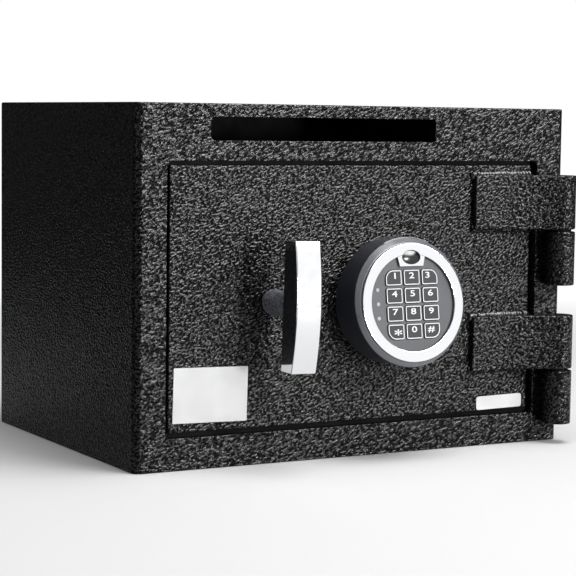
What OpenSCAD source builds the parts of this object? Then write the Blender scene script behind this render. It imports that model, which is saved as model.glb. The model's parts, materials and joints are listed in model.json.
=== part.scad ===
// Front-loading drop safe: a sheet-steel cabinet with a mail slot, a hinged plate door with a bar
// handle and a round keypad, and the boltwork and lock behind the door.
// Millimetres. Origin at the centre of the cabinet's underside, front faces -Y, +Z up.

/* [Cabinet] */
// Outside width of the cabinet
body_w = 353; // [333:1:423]
// Outside depth of the cabinet, front to back
body_d = 250; // [235:1:320]
// Outside height of the cabinet
body_h = 250; // [246:1:300]
// Sheet thickness of the front and the two sides
wall_t = 2; // [1.5:0.1:2.5]
// Sheet thickness of the top panel
top_t = 2; // [1.5:0.1:3]
// Sheet thickness of the floor panel
floor_t = 2; // [1.5:0.1:4]
// Sheet thickness of the rear panel
rear_t = 2; // [1.5:0.1:4]
// Outside bend radius of the two upright front edges
corner_r = 5.5; // [3:0.5:7]

/* [Anchor holes in the floor] */
// Radius of each anchor hole
anchor_r = 6; // [4:0.5:8]
// Distance between the holes, side to side
anchor_dx = 250; // [160:1:280]
// Distance between the holes, front to back
anchor_dy = 150; // [90:1:180]

/* [Door opening] */
// Width of the front left of the opening
margin_left = 23.2; // [20:0.1:30]
// Width of the front right of the opening
margin_right = 24.3; // [23:0.1:27]
// Height of the front below the opening
margin_bottom = 22.3; // [14:0.1:24]
// Height of the front above the opening
margin_top = 39; // [38:0.1:44]
// Radius of the opening's corners
opening_r = 4; // [2:0.5:5]
// Thickness of the returned edge round the opening
return_t = 2; // [1.5:0.1:2]
// Depth of the strips that the closed door meets
stop_t = 2; // [1.5:0.1:3]
// How far each stop strip reaches behind the door
stop_lap = 2.5; // [1.5:0.1:3]
// How far each stop strip reaches past the opening's edge
stop_seat = 6; // [4:0.5:7]

/* [Door] */
// Thickness of the door plate
door_t = 6; // [5:0.1:7]
// How far the door's face lies behind the cabinet's face
door_recess = 0.5; // [0.3:0.1:1]
// Gap between door and opening on the left
gap_left = 1.8; // [1.5:0.1:3]
// Gap between door and opening on the right, where the hinges are
gap_right = 5.2; // [4:0.1:6]
// Gap between door and opening at the top
gap_top = 3; // [2:0.1:4]
// Gap between door and opening at the bottom
gap_bottom = 3.7; // [2:0.1:4]
// Radius of the door's corners
door_r = 2; // [1:0.5:3]

/* [Hinges] */
// Radius of the hinge barrels
barrel_r = 10.8; // [9.5:0.1:12]
// Gap between the barrels and the cabinet's face
barrel_gap = 0.7; // [0.5:0.1:1.5]
// Distance of the hinge axis from the cabinet's right side
hinge_inset = 10; // [9:0.1:11]
// Height of each barrel
barrel_h = 40; // [34:0.5:42]
// Gap between the two barrels of a hinge
barrel_step = 1.8; // [1.2:0.1:2.5]
// Height of the lower hinge's foot above the ground
lower_hinge_z = 14.8; // [8:0.1:16]
// Distance of the upper hinge's arm below the door's upper edge
upper_hinge_drop = 7.1; // [6:0.1:14]
// Radius of the hinge pins
pin_r = 5; // [4:0.1:6]
// Depth of the pin's hole in each barrel
pin_depth = 33; // [25:1:33]
// Outside radius of the washer between two barrels
washer_r = 8; // [7:0.1:9]
// Width of the foot that joins a barrel to the cabinet
foot_w = 12.5; // [10:0.5:14]
// Thickness of the hinge arm where it lies on the door
arm_t = 5; // [4:0.1:6]
// Length of the arm from its free end to the hinge axis
arm_len = 72; // [66:0.5:80]
// Length of the arm's flat part on the door
arm_flat = 35; // [30:0.5:38]
// Leg of the weld bead along the arm's edges
weld = 2.4; // [1.5:0.1:3]

/* [Drop slot and chute] */
// Width of the slot
slot_w = 181.6; // [160:0.1:190]
// Height of the slot
slot_h = 16; // [10:0.1:17]
// Distance of the slot's left end from the cabinet's left side
slot_left = 55.8; // [50:0.1:70]
// Distance of the slot's upper edge from the cabinet's top
slot_drop = 9.2; // [8:0.1:12]
// Radius of the slot's left corners
slot_r_left = 3.4; // [1:0.1:4]
// Radius of the slot's right corners
slot_r_right = 1.6; // [1:0.1:4]
// Sheet thickness of the chute tray and the anti-fish plate
chute_t = 1.5; // [1:0.1:2]
// Space between the slot's ends and the chute's cheeks
chute_side = 3; // [1:0.1:6]
// Length of the sloping tray, front to back
chute_len = 180; // [150:1:190]
// How far the tray falls over its length
chute_fall = 32; // [20:1:40]
// Height of the lip that joins the tray to the front
chute_lip = 9; // [6:0.5:9]
// Distance of the anti-fish plate from the cabinet's front sheet
fish_back = 140; // [110:1:145]
// Gap between the saw teeth and the tray
fish_gap = 13; // [8:0.5:15]
// Height of the saw teeth
tooth_h = 7; // [4:0.5:9]
// Distance from one saw tooth to the next
tooth_pitch = 10; // [7:0.5:14]
// Depth of the plate's welded flange
fish_flange = 12; // [8:0.5:16]

/* [Handle] */
// Distance of the handle's axis from the door's left edge
handle_in = 80.5; // [78:0.5:86]
// Height of the handle's axis above the door's lower edge
handle_up = 87.3; // [85:0.1:89]
// Turn of the handle from rest until the bolts are thrown, in degrees
handle_turn = 90; // [80:1:100]
// Lean of the grip to the right at rest, in degrees
handle_lean = 1.3; // [0:0.1:3]
// Length of the grip
grip_len = 90; // [80:0.5:94]
// Width of the grip
grip_w = 19; // [16:0.5:22]
// Depth of the grip at its middle
grip_d = 19; // [15:0.5:19]
// How much less deep the grip is at its ends
grip_bow = 4.8; // [1:0.1:5]
// Distance of the grip's front from the cabinet's face
grip_reach = 50; // [46:0.5:56]
// Thickness of the chrome cover along the front
cover_t = 2.5; // [1.5:0.1:3]
// Thickness of the chrome cover at the ends
cover_end_t = 6.5; // [3:0.1:8]
// Radius of the stem
stem_r = 9; // [8.5:0.1:10]
// Radius of the spindle
spindle_r = 5; // [4:0.1:5.5]

/* [Boltwork] */
// Radius of the locking bolts
bolt_r = 9; // [7:0.1:9]
// Distance of the upper bolt from the upper edge of the door's back cover
upper_bolt_in = 34.7; // [30:0.1:40]
// Distance of the lower bolt from the lower edge of the door's back cover
lower_bolt_in = 27.3; // [26:0.1:32]
// Chamfer of the bolts' tips
bolt_chamfer = 2; // [1:0.1:3]
// Travel of the bolts
throw = 16; // [12:0.5:16]
// Width of the bored bar that guides the bolts
guide_w = 8.5; // [6:0.1:9]
// Wall between the bolts and the door plate
guide_wall = 1.2; // [1:0.1:1.5]
// Width of the upright bar that carries the bolts
bar_w = 8; // [6:0.1:9]
// Radius of the riveted end of each bolt
rivet_r = 4; // [3:0.1:5]
// Thickness of the carriage plate
plate_t = 4; // [3:0.1:4.5]
// Height of the carriage plate
plate_h = 27; // [24:0.5:28]
// Radius of the cam disc
cam_r = 34; // [32:0.5:34]
// Thickness of the cam disc
cam_t = 4.5; // [3:0.1:5]
// Radius of the cam's slot path with the bolts drawn
cam_path_r = 12; // [11:0.1:13]
// Radius of the follower pin
follower_r = 3.5; // [2.5:0.1:4]
// Radius of the cam's hub
hub_r = 9; // [8:0.1:9]
// Thickness of the fixed bar on the hinge side
dead_t = 6; // [4:0.1:8]
// How far the fixed bar reaches behind the frame
dead_lap = 5.3; // [3:0.1:6]

/* [Lock] */
// Distance of the lock bolt from the handle's axis
lock_out = 63.5; // [62:0.5:66]
// Width of the lock bolt
lock_bolt_w = 9; // [6:0.1:9]
// Depth of the lock bolt, front to back
lock_bolt_d = 10; // [7:0.1:11]
// Length of the lock bolt
lock_bolt_h = 40; // [34:0.5:42]
// Travel of the lock bolt
lock_throw = 8; // [6:0.1:8]
// Width of the lock case
lock_w = 60; // [56:0.5:62]
// Height of the lock case
lock_h = 62; // [60:0.5:63]
// Depth of the lock case without its lid
lock_d = 26; // [25:0.1:27]
// Wall of the lock case
lock_wall = 1.8; // [1.2:0.1:2.2]
// Radius of the lock's drive motor
motor_r = 6.5; // [5:0.1:7]
// Length of the lock's drive motor
motor_h = 26; // [20:0.5:28]

/* [Door back cover] */
// Depth of the space behind the door plate
back_depth = 34.5; // [34:0.1:40]
// Sheet thickness of the cover
back_t = 1.2; // [0.8:0.1:1.4]
// Space between the cover and the door's upper and lower edges
back_edge = 5; // [4.5:0.1:6]
// Distance of the cover's right wall from the door's right edge
back_right = 19; // [18:0.5:20]
// Radius of the cover's posts
post_r = 4; // [3:0.1:4.5]

/* [Keypad] */
// Distance of the keypad's axis from the handle's axis
keypad_out = 96; // [93:0.5:97]
// How far the keypad's axis lies below the handle's axis
keypad_drop = 1.3; // [0:0.1:3]
// Outside radius of the housing
keypad_r = 45.5; // [45:0.1:47]
// Distance of the face's middle from the cabinet's face
keypad_reach = 30; // [30:0.1:34]
// Upward tilt of the face, in degrees
keypad_tilt = 7.7; // [4:0.1:8]
// Wall of the housing
keypad_wall = 2.5; // [1.5:0.1:2.5]
// Distance between the two screws that hold the keypad's base
keypad_screw_dx = 60; // [56:0.5:64]
// Slope height of the housing's bevelled rim
rim_h = 3.2; // [2:0.1:3.5]
// Inner radius of the chrome ring
ring_in_r = 34.2; // [33.8:0.1:35]
// Radial width of the chrome ring
ring_w = 8; // [7.5:0.1:8]
// Thickness of the chrome ring
ring_t = 1.6; // [1:0.1:2]
// How far the chrome ring stands proud of the plane of the face
ring_proud = 0.6; // [0.4:0.1:1]
// Width of the ring's tab
tab_w = 19.4; // [17:0.1:20]
// Height of the tab's lower edge above the face's middle
tab_v = 26; // [25.5:0.1:26.8]
// Width of the oval lens in the tab
lens_w = 15.4; // [12:0.1:16]
// Height of the oval lens
lens_h = 10.2; // [7:0.1:10.6]
// Height of the lens above the face's middle
lens_v = 32.3; // [32.2:0.1:33.2]
// Thickness of the panel
panel_t = 1.8; // [1.2:0.1:2]
// How far the panel lies below the chrome ring's underside
panel_drop = 0.4; // [0.2:0.1:0.6]
// Width of a key
key_w = 13.5; // [12:0.1:13.5]
// Height of a key
key_h = 11.1; // [10:0.1:11.2]
// Distance from one key to the next, side to side
key_dx = 15; // [14.8:0.1:15.2]
// Distance from one key to the next, up and down
key_dv = 12.7; // [12.5:0.1:12.9]
// Distance of the key block's middle below the face's middle
key_v = 0.95; // [0:0.05:1.5]
// Travel of a key
key_travel = 1; // [0.5:0.1:1.2]
// How far a key stands proud of the panel
key_proud = 1; // [0.6:0.1:1.2]
// Small corner radius of the keys
key_r = 1.6; // [1:0.1:2.5]
// Large outer corner radius of the four corner keys
key_big_r = 6.5; // [4:0.1:8]
// Radius of each indicator light
light_r = 1.3; // [0.8:0.1:1.8]
// Distance of the lights from the face's middle line
light_u = 28.2; // [26.5:0.1:29]
// Distance from one light to the next
light_dv = 10; // [7:0.1:11]
// Thickness of the circuit board
board_t = 1.6; // [1:0.1:2]
// Width of the battery
battery_w = 48; // [44:0.5:49]
// Height of the battery
battery_h = 26; // [22:0.5:26.5]
// Depth of the battery
battery_d = 16.5; // [15:0.5:17]
// Radius of the cable between keypad and lock
cable_r = 2.5; // [1.5:0.1:3]

/* [Labels] */
// Width of the large label
label_w = 56.9; // [40:0.1:60]
// Height of the large label
label_h = 38; // [25:0.1:40]
// Distance of the large label from the door's left edge
label_in = 3.8; // [2:0.1:8]
// Height of the large label above the door's lower edge
label_up = 6; // [4:0.1:10]
// Turn of the large label, in degrees
label_turn = -1.2; // [-2:0.1:2]
// Width of the small label
serial_w = 40.6; // [30:0.1:42]
// Height of the small label
serial_h = 10; // [8:0.1:12]
// Distance of the small label from the door's right edge
serial_in = 4.6; // [3:0.1:8]
// Height of the small label above the door's lower edge
serial_up = 0.9; // [0.8:0.1:6]
// Turn of the small label, in degrees
serial_turn = 1; // [0:0.1:1]
// Thickness of both labels
label_t = 0.3; // [0.2:0.05:0.5]

/* [Screws] */
// Thread radius of the screws in cover, keypad and lock
screw_r = 2; // [1.5:0.1:2]
// Radius of the screw heads
screw_head_r = 3.5; // [2.6:0.1:3.6]
// Height of the screw heads
screw_head_h = 2; // [1.4:0.1:2.4]
// Width of the slot in the heads of the cover's screws
screw_slot = 1; // [0.8:0.1:1.4]
// Length of thread of the cover's screws in their posts
screw_len = 10; // [6:0.5:16]

/* [Fits] */
// Clearance of a turning or sliding shaft in its bore
run_gap = 0.05; // [0.02:0.01:0.08]
// Clearance of a piece held fast in its hole
held_gap = 0.02; // [0.01:0.01:0.04]
// Clearance between faces that pass each other
slide_gap = 0.5; // [0.3:0.1:0.8]
// Clearance between a loose piece and its seat
seat_gap = 0.3; // [0.2:0.05:0.4]
// Clearance between the opening door and the frame
swing_gap = 1; // [0.5:0.1:1.3]

/* [Hidden] */
$fn = 64;
eps = 0.01;

// Colours
coat = "#2b2b29";
bare_steel = "#8f9396";
chrome = "#dfe2e6";
black_plastic = "#17181a";
grey_plastic = "#3b3c40";
key_rubber = "#2a2b2e";
label_white = "#e9ebf0";
lens_black = "#0b0c0d";
light_grey = "#9a9da2";
board_green = "#1f5b3a";
battery_blue = "#30405e";

// Cabinet
front_y = -body_d / 2;
rear_y = body_d / 2;
front_in_y = front_y + wall_t;
ceiling_z = body_h - top_t;
shell_h = body_h - top_t - floor_t;

// Door opening and door
open_x0 = -body_w / 2 + margin_left;
open_x1 = body_w / 2 - margin_right;
open_z0 = margin_bottom;
open_z1 = body_h - margin_top;
door_x0 = open_x0 + gap_left;
door_x1 = open_x1 - gap_right;
door_z0 = open_z0 + gap_bottom;
door_z1 = open_z1 - gap_top;
door_y = front_y + door_recess;
door_back_y = door_y + door_t;
return_y = door_back_y + seat_gap;

// Hinge axis, and the reach that the opening door leaves between its axis and the left jamb
hinge_x = body_w / 2 - hinge_inset;
hinge_y = front_y - barrel_gap - barrel_r;
jamb_reach = norm([hinge_x - open_x0, front_y - hinge_y]) - swing_gap;
function swing_x(y) = hinge_x - sqrt(pow(jamb_reach, 2) - pow(y - hinge_y, 2));
barrel_rise = barrel_h + barrel_step;
upper_hinge_z = max(door_z1 - upper_hinge_drop - barrel_h - barrel_rise, lower_hinge_z + 2 * barrel_rise);

// Hinge arm: its crank runs from the bend to a tangent of the barrel
arm_x0 = hinge_x - arm_len;
bend = [arm_x0 + arm_flat, door_y - arm_t];
bend_to_axis = [hinge_x, hinge_y] - bend;
bend_dist = norm(bend_to_axis);
crank_angle = atan2(bend_to_axis[1], bend_to_axis[0]) - asin(barrel_r / bend_dist);
crank_len = sqrt(pow(bend_dist, 2) - pow(barrel_r, 2));
crank_end = bend + crank_len * [cos(crank_angle), sin(crank_angle)];
arm_back_y = front_y - barrel_gap - 0.6;

// Fixed bar: its corner passes the right jamb's inner corner with the swing clearance
dead_x1 = open_x1 + dead_lap;
right_jamb_r = norm([hinge_x - open_x1, return_y - hinge_y]);
dead_y = hinge_y + sqrt(pow(right_jamb_r + swing_gap, 2) - pow(hinge_x - dead_x1, 2));
dead_foot_w = 14;
dead_margin = 18;

// Slot and chute
slot_x0 = -body_w / 2 + slot_left;
slot_x1 = slot_x0 + slot_w;
slot_z1 = body_h - slot_drop;
slot_z0 = slot_z1 - slot_h;
chute_x0 = slot_x0 - chute_side - chute_t;
chute_x1 = slot_x1 + chute_side + chute_t;
chute_z = slot_z0 - 0.3;
chute_slope = chute_fall / chute_len;
chute_tv = chute_t * sqrt(1 + pow(chute_slope, 2));
function chute_top(y) = chute_z - chute_slope * (y - front_in_y);
fish_y = front_in_y + fish_back;
fish_tip_z = chute_top(fish_y) + fish_gap;

// Handle and spindle
handle_x = door_x0 + handle_in;
handle_z = door_z0 + handle_up;
grip_front_y = front_y - grip_reach;
grip_back_y = grip_front_y + grip_d;
bow_r = (pow(grip_len / 2, 2) + pow(grip_bow, 2)) / (2 * grip_bow);
inner_fillet = 2.5;
stem_y1 = door_y - seat_gap;
spindle_front_y = grip_front_y + cover_t + 6;
bush_r = spindle_r + 3;
bush_flange_r = spindle_r + 7;
bush_flange_t = 2;

// Boltwork: depths are counted from the back of the door plate
bolt_y = door_back_y + guide_wall + bolt_r;
bolt_back_y = bolt_y + bolt_r;
bolt_tip_x = swing_x(bolt_back_y);
guide_back_y = bolt_back_y + 3;
guide_x0 = swing_x(guide_back_y) + 0.2;
guide_x1 = guide_x0 + guide_w;
bar_x0 = guide_x1 + throw + slide_gap;
bar_x1 = bar_x0 + bar_w;
bar_lap = 12;
plate_y0 = bolt_back_y - plate_t;
cam_y1 = plate_y0 - slide_gap;
cam_y0 = cam_y1 - cam_t;
hub_y0 = door_back_y + bush_flange_t + seat_gap;
spindle_back_y = bolt_back_y + 6;
cam_pin_r = 1.5;
cam_pin_y = hub_y0 + 3.5;
lock_x = handle_x + lock_out;
plate_x1 = lock_x + throw + lock_bolt_w / 2 + 6;
notch_gap = 0.5;
lock_rest_gap = 2;
notch_h = lock_throw - lock_rest_gap + notch_gap;

// Lock
lock_bolt_z1 = handle_z - plate_h / 2 - lock_rest_gap;
lock_bolt_z0 = lock_bolt_z1 - lock_bolt_h;
lock_top_z = lock_bolt_z1 - 2;
lock_z0 = lock_top_z - lock_h;
lock_x0 = lock_x - 18;
lock_x1 = lock_x0 + lock_w;
lock_y1 = door_back_y + lock_d;
lock_bolt_y = plate_y0 + plate_t / 2;
lock_screw_xs = [lock_x0 + 6, lock_x1 - 6];
lock_screw_z = lock_z0 + 8;
ledge_t = 3;
rib_t = 2;

// Door back cover
back_y = door_back_y + back_depth;
back_x0 = swing_x(back_y) + 0.2;
back_x1 = door_x1 - back_right;
back_z0 = door_z0 + back_edge;
back_z1 = door_z1 - back_edge;
guide_z0 = back_z0 + back_t + 0.2;
guide_z1 = back_z1 - back_t - 0.2;
bolt_zs = [back_z0 + lower_bolt_in, handle_z, back_z1 - upper_bolt_in];
post_in = post_r + 1;
screw_depth = 4;
post_xs = [bar_x0 - throw + post_r + 2, back_x1 - back_t - post_in];
post_zs = [back_z0 + back_t + post_in, back_z1 - back_t - post_in];

// Keypad: u runs to the right, v up the tilted face and w out of it, from the face's middle
keypad_x = handle_x + keypad_out;
keypad_z = handle_z - keypad_drop;
ring_r = ring_in_r + ring_w;
plate_w = ring_proud - ring_t;
rim_r0 = ring_r + 0.6;
rim_r1 = keypad_r + 1;
rim_w = plate_w - rim_h * (rim_r1 - rim_r0) / (keypad_r - rim_r0);
panel_top_w = plate_w - panel_drop;
panel_w = panel_top_w - panel_t;
ledge_w = panel_w - 1.5;
window_r = ring_in_r - 2;
key_flange_t = 1.5;
key_flange = 0.6;
window_gap = 0.2;
board_top_w = panel_w - seat_gap - key_flange_t - key_travel - 0.6;
board_r = 38;
board_back_y = front_y - keypad_reach - (board_top_w - board_t) / cos(keypad_tilt);
base_r = keypad_r - keypad_wall - 0.25;
base_t = 3;
battery_drop = 3;
cable_drop = 26;
cable_hole_r = cable_r + 1;
keypad_screw_xs = [keypad_x - keypad_screw_dx / 2, keypad_x + keypad_screw_dx / 2];
keypad_front_y = front_y - keypad_reach - keypad_r * sin(keypad_tilt) - ring_proud;
trim_d = 2 * keypad_reach;
trim_r = keypad_r + keypad_reach / 2;
cable_z = keypad_z - cable_drop;
KEYS = [["1", -1, 0], ["2", 0, 0], ["3", 1, 0], ["4", -1, 1], ["5", 0, 1], ["6", 1, 1],
    ["7", -1, 2], ["8", 0, 2], ["9", 1, 2], ["star", -1, 3], ["0", 0, 3], ["hash", 1, 3]];

// Plain building blocks
// An outline in X and Z, extruded along Y from y0 to y1
module along_y(y0, y1) {
    translate([0, y1, 0]) rotate([90, 0, 0]) linear_extrude(height = y1 - y0) children();
}

// An outline in Y and Z, extruded along X from x0 to x1
module along_x(x0, x1) {
    translate([x0, 0, 0]) rotate([90, 0, 90]) linear_extrude(height = x1 - x0) children();
}

// A rod along Y
module rod_y(r, x, z, y0, y1) {
    translate([x, y1, z]) rotate([90, 0, 0]) cylinder(r = r, h = y1 - y0);
}

// A rod along X
module rod_x(r, y, z, x0, x1) {
    translate([x0, y, z]) rotate([0, 90, 0]) cylinder(r = r, h = x1 - x0);
}

// A rectangle between two corners with a radius of its own at each corner
module corner_rect(x0, y0, x1, y1, r_ll, r_lr, r_ur, r_ul) {
    difference() {
        translate([x0, y0]) square([x1 - x0, y1 - y0]);
        corner_cut(x0, y0, 1, 1, r_ll);
        corner_cut(x1, y0, -1, 1, r_lr);
        corner_cut(x1, y1, -1, -1, r_ur);
        corner_cut(x0, y1, 1, -1, r_ul);
    }
}

// What rounding with radius r takes off a corner; sx and sy point into the outline
module corner_cut(x, y, sx, sy, r) {
    difference() {
        translate([sx > 0 ? x - 1 : x - r, sy > 0 ? y - 1 : y - r]) square([r + 1, r + 1]);
        translate([x + sx * r, y + sy * r]) circle(r = r);
    }
}

module round_rect(x0, y0, x1, y1, r) {
    corner_rect(x0, y0, x1, y1, r, r, r, r);
}

// Places children in the keypad face's own axes: X to the right, Y up the face, Z out of it
module on_face() {
    translate([keypad_x, front_y - keypad_reach, keypad_z])
        rotate([90 - keypad_tilt, 0, 0])
            children();
}

// Cabinet
// Plan of the cabinet, with the two front corners rounded by radius r and inset by t
module cabinet_plan(t) {
    r = corner_r - t;
    x = body_w / 2 - t;
    translate([-x, front_y + corner_r]) square([2 * x, body_d - corner_r]);
    translate([-x + r, front_y + t]) square([2 * (x - r), corner_r]);
    for (side = [-1, 1])
        translate([side * (x - r), front_y + corner_r]) circle(r = r);
}

module opening_outline(grow) {
    round_rect(open_x0 - grow, open_z0 - grow, open_x1 + grow, open_z1 + grow, opening_r + grow);
}

module front_shell() {
    color(coat) difference() {
        union() {
            translate([0, 0, floor_t]) linear_extrude(height = shell_h) difference() {
                cabinet_plan(0);
                cabinet_plan(wall_t);
                translate([-body_w / 2 + wall_t, rear_y - 1]) square([body_w - 2 * wall_t, 2]);
            }
            along_y(front_y, return_y) opening_outline(return_t);
        }
        along_y(front_y - 1, return_y + 1) opening_outline(0);
        along_y(front_y - 1, front_in_y + 1)
            corner_rect(slot_x0, slot_z0, slot_x1, slot_z1, slot_r_left, slot_r_right, slot_r_right,
                slot_r_left);
    }
}

module top_panel() {
    color(coat) translate([0, 0, ceiling_z]) linear_extrude(height = top_t) cabinet_plan(0);
}

module floor_panel() {
    color(coat) difference() {
        linear_extrude(height = floor_t) cabinet_plan(0);
        for (x = [-1, 1], y = [-1, 1])
            translate([x * anchor_dx / 2, y * anchor_dy / 2, -1]) cylinder(r = anchor_r, h = floor_t + 2);
    }
}

module rear_panel() {
    color(coat) translate([-body_w / 2 + wall_t, rear_y - rear_t, floor_t])
        cube([body_w - 2 * wall_t, rear_t, shell_h]);
}

module chute_tray() {
    y1 = front_in_y + chute_len;
    lip_z = chute_z - chute_lip;
    color(coat) {
        along_x(chute_x0, chute_x1) polygon([
            [front_in_y, chute_z],
            [y1, chute_top(y1)],
            [y1, chute_top(y1) - chute_tv],
            [front_in_y + chute_t, chute_top(front_in_y + chute_t) - chute_tv],
            [front_in_y + chute_t, lip_z],
            [front_in_y, lip_z]]);
        for (x = [chute_x0, chute_x1 - chute_t])
            along_x(x, x + chute_t) polygon([
                [front_in_y, chute_z - chute_tv / 2],
                [y1, chute_top(y1) - chute_tv / 2],
                [y1, ceiling_z],
                [front_in_y, ceiling_z]]);
    }
}

module anti_fish_plate() {
    x0 = chute_x0 + chute_t;
    width = chute_x1 - chute_x0 - 2 * chute_t;
    teeth = floor(width / tooth_pitch);
    pitch = width / teeth;
    root_z = fish_tip_z + tooth_h;
    color(bare_steel) {
        along_y(fish_y, fish_y + chute_t) polygon(concat(
            [[x0, ceiling_z], [x0, root_z]],
            [for (i = [0 : teeth - 1], half = [0, 1])
                [x0 + (i + 0.5 + half / 2) * pitch, half == 0 ? fish_tip_z : root_z]],
            [[x0 + width, ceiling_z]]));
        translate([x0, fish_y, ceiling_z - chute_t]) cube([width, fish_flange, chute_t]);
    }
}

module door_stop(z0, z1) {
    color(coat) translate([open_x0, return_y, z0]) cube([open_x1 - open_x0, stop_t, z1 - z0]);
}

module upper_door_stop() {
    door_stop(door_z1 - stop_lap, open_z1 + stop_seat);
}

module lower_door_stop() {
    door_stop(open_z0 - stop_seat, door_z0 + stop_lap);
}

// Hinges
module body_knuckle(z) {
    color(coat) difference() {
        union() {
            translate([hinge_x, hinge_y, z]) cylinder(r = barrel_r, h = barrel_h);
            translate([hinge_x - foot_w / 2, hinge_y, z]) cube([foot_w, front_y - hinge_y, barrel_h]);
        }
        translate([hinge_x, hinge_y, z + barrel_h - pin_depth])
            cylinder(r = pin_r + held_gap, h = pin_depth + 1);
    }
}

module upper_body_knuckle() {
    body_knuckle(upper_hinge_z);
}

module lower_body_knuckle() {
    body_knuckle(lower_hinge_z);
}

module hinge_pins() {
    color(bare_steel) for (z = [lower_hinge_z, upper_hinge_z])
        translate([hinge_x, hinge_y, z + barrel_h - pin_depth])
            cylinder(r = pin_r, h = 2 * pin_depth + barrel_step - slide_gap);
}

module hinge_washers() {
    color(bare_steel) for (z = [lower_hinge_z, upper_hinge_z])
        translate([hinge_x, hinge_y, z + barrel_h]) difference() {
            cylinder(r = washer_r, h = barrel_step - 0.1);
            translate([0, 0, -1]) cylinder(r = pin_r + held_gap, h = barrel_step + 2);
        }
}

// The arm lies flat on the door, cranks forward over the frame and ends in its barrel
module hinge_arm(z) {
    color(coat) difference() {
        union() {
            translate([hinge_x, hinge_y, z]) cylinder(r = barrel_r, h = barrel_h);
            translate([0, 0, z]) linear_extrude(height = barrel_h) polygon([
                [arm_x0, door_y],
                [arm_x0, door_y - arm_t],
                bend,
                crank_end,
                [hinge_x, hinge_y],
                [hinge_x - 3, arm_back_y],
                [door_x1, arm_back_y],
                [door_x1, door_y]]);
            along_x(arm_x0, door_x1) polygon([
                [door_y, z - weld],
                [door_y - weld, z],
                [door_y - weld, z + barrel_h],
                [door_y, z + barrel_h + weld]]);
        }
        translate([hinge_x, hinge_y, z - 1]) cylinder(r = pin_r + run_gap, h = pin_depth + 1);
    }
}

module upper_hinge_arm() {
    hinge_arm(upper_hinge_z + barrel_rise);
}

module lower_hinge_arm() {
    hinge_arm(lower_hinge_z + barrel_rise);
}

// Door
module door_plate() {
    color(coat) difference() {
        along_y(door_y, door_back_y) round_rect(door_x0, door_z0, door_x1, door_z1, door_r);
        rod_y(bush_r + held_gap, handle_x, handle_z, door_y - 1, door_back_y + 1);
        rod_y(cable_hole_r, keypad_x, cable_z, door_y - 1, door_back_y + 1);
        for (x = keypad_screw_xs)
            rod_y(screw_r + held_gap, x, keypad_z, door_y - 1, door_back_y + 1);
        for (x = lock_screw_xs)
            rod_y(screw_r + held_gap, x, lock_screw_z, door_back_y - screw_depth, door_back_y + 1);
    }
}

module dead_bar() {
    color(coat) translate([0, 0, door_z0 + dead_margin])
        linear_extrude(height = door_z1 - door_z0 - 2 * dead_margin) polygon([
            [door_x1 - 2.5 - dead_foot_w, door_back_y],
            [door_x1 - 2.5, door_back_y],
            [door_x1 - 2.5, dead_y],
            [dead_x1, dead_y],
            [dead_x1, dead_y + dead_t],
            [door_x1 - 2.5 - dead_foot_w, dead_y + dead_t]]);
}

module bolt_guide() {
    color(coat) difference() {
        translate([guide_x0, door_back_y, guide_z0])
            cube([guide_w, guide_back_y - door_back_y, guide_z1 - guide_z0]);
        for (z = bolt_zs)
            rod_x(bolt_r + run_gap, bolt_y, z, guide_x0 - 1, guide_x1 + 1);
    }
}

module door_back_cover() {
    color(coat) difference() {
        translate([back_x0, door_back_y, back_z0])
            cube([back_x1 - back_x0, back_y - door_back_y, back_z1 - back_z0]);
        translate([back_x0 + back_t, door_back_y - 1, back_z0 + back_t])
            cube([back_x1 - back_x0 - 2 * back_t, back_depth + 1 - back_t,
                back_z1 - back_z0 - 2 * back_t]);
        translate([back_x0 - 1, door_back_y - 1, guide_z0 - 0.2])
            cube([back_t + 2, guide_back_y - door_back_y + 1, guide_z1 - guide_z0 + 0.4]);
        for (x = post_xs, z = post_zs)
            rod_y(screw_r + held_gap, x, z, back_y - back_t - 1, back_y + 1);
    }
}

module cover_posts() {
    color(bare_steel) for (x = post_xs, z = post_zs) difference() {
        rod_y(post_r, x, z, door_back_y, back_y - back_t);
        rod_y(screw_r + held_gap, x, z, back_y - back_t - screw_len - 1, back_y);
    }
}

module back_cover_screws() {
    color(bare_steel) for (x = post_xs, z = post_zs) difference() {
        union() {
            rod_y(screw_r, x, z, back_y - back_t - screw_len, back_y);
            rod_y(screw_head_r, x, z, back_y, back_y + screw_head_h);
        }
        translate([x - screw_head_r, back_y + 0.6 * screw_head_h, z - screw_slot / 2])
            cube([2 * screw_head_r, screw_head_h, screw_slot]);
    }
}

module spindle_bush() {
    color("goldenrod") difference() {
        union() {
            rod_y(bush_r, handle_x, handle_z, door_y, door_back_y + eps);
            rod_y(bush_flange_r, handle_x, handle_z, door_back_y, door_back_y + bush_flange_t);
        }
        rod_y(spindle_r + run_gap, handle_x, handle_z, door_y - 1, door_back_y + bush_flange_t + 1);
    }
}

module label(x, z, w, h, turn, r) {
    color(label_white) translate([x, 0, z]) rotate([0, -turn, 0]) along_y(door_y - label_t, door_y)
        round_rect(-w / 2, -h / 2, w / 2, h / 2, r);
}

module door_label() {
    label(door_x0 + label_in + label_w / 2, door_z0 + label_up + label_h / 2, label_w, label_h,
        label_turn, 0.5);
}

module serial_label() {
    label(door_x1 - serial_in - serial_w / 2, door_z0 + serial_up + serial_h / 2, serial_w, serial_h,
        serial_turn, 2);
}

// Handle
// Side outline of the grip, less a skin t off its bowed front and e off each end
module grip_side(t, e) {
    half = grip_len / 2 - e;
    intersection() {
        translate([grip_front_y + bow_r, 0]) circle(r = bow_r - t, $fn = 720);
        translate([grip_front_y + t, -half]) square([grip_d - t, 2 * half]);
    }
}

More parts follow.
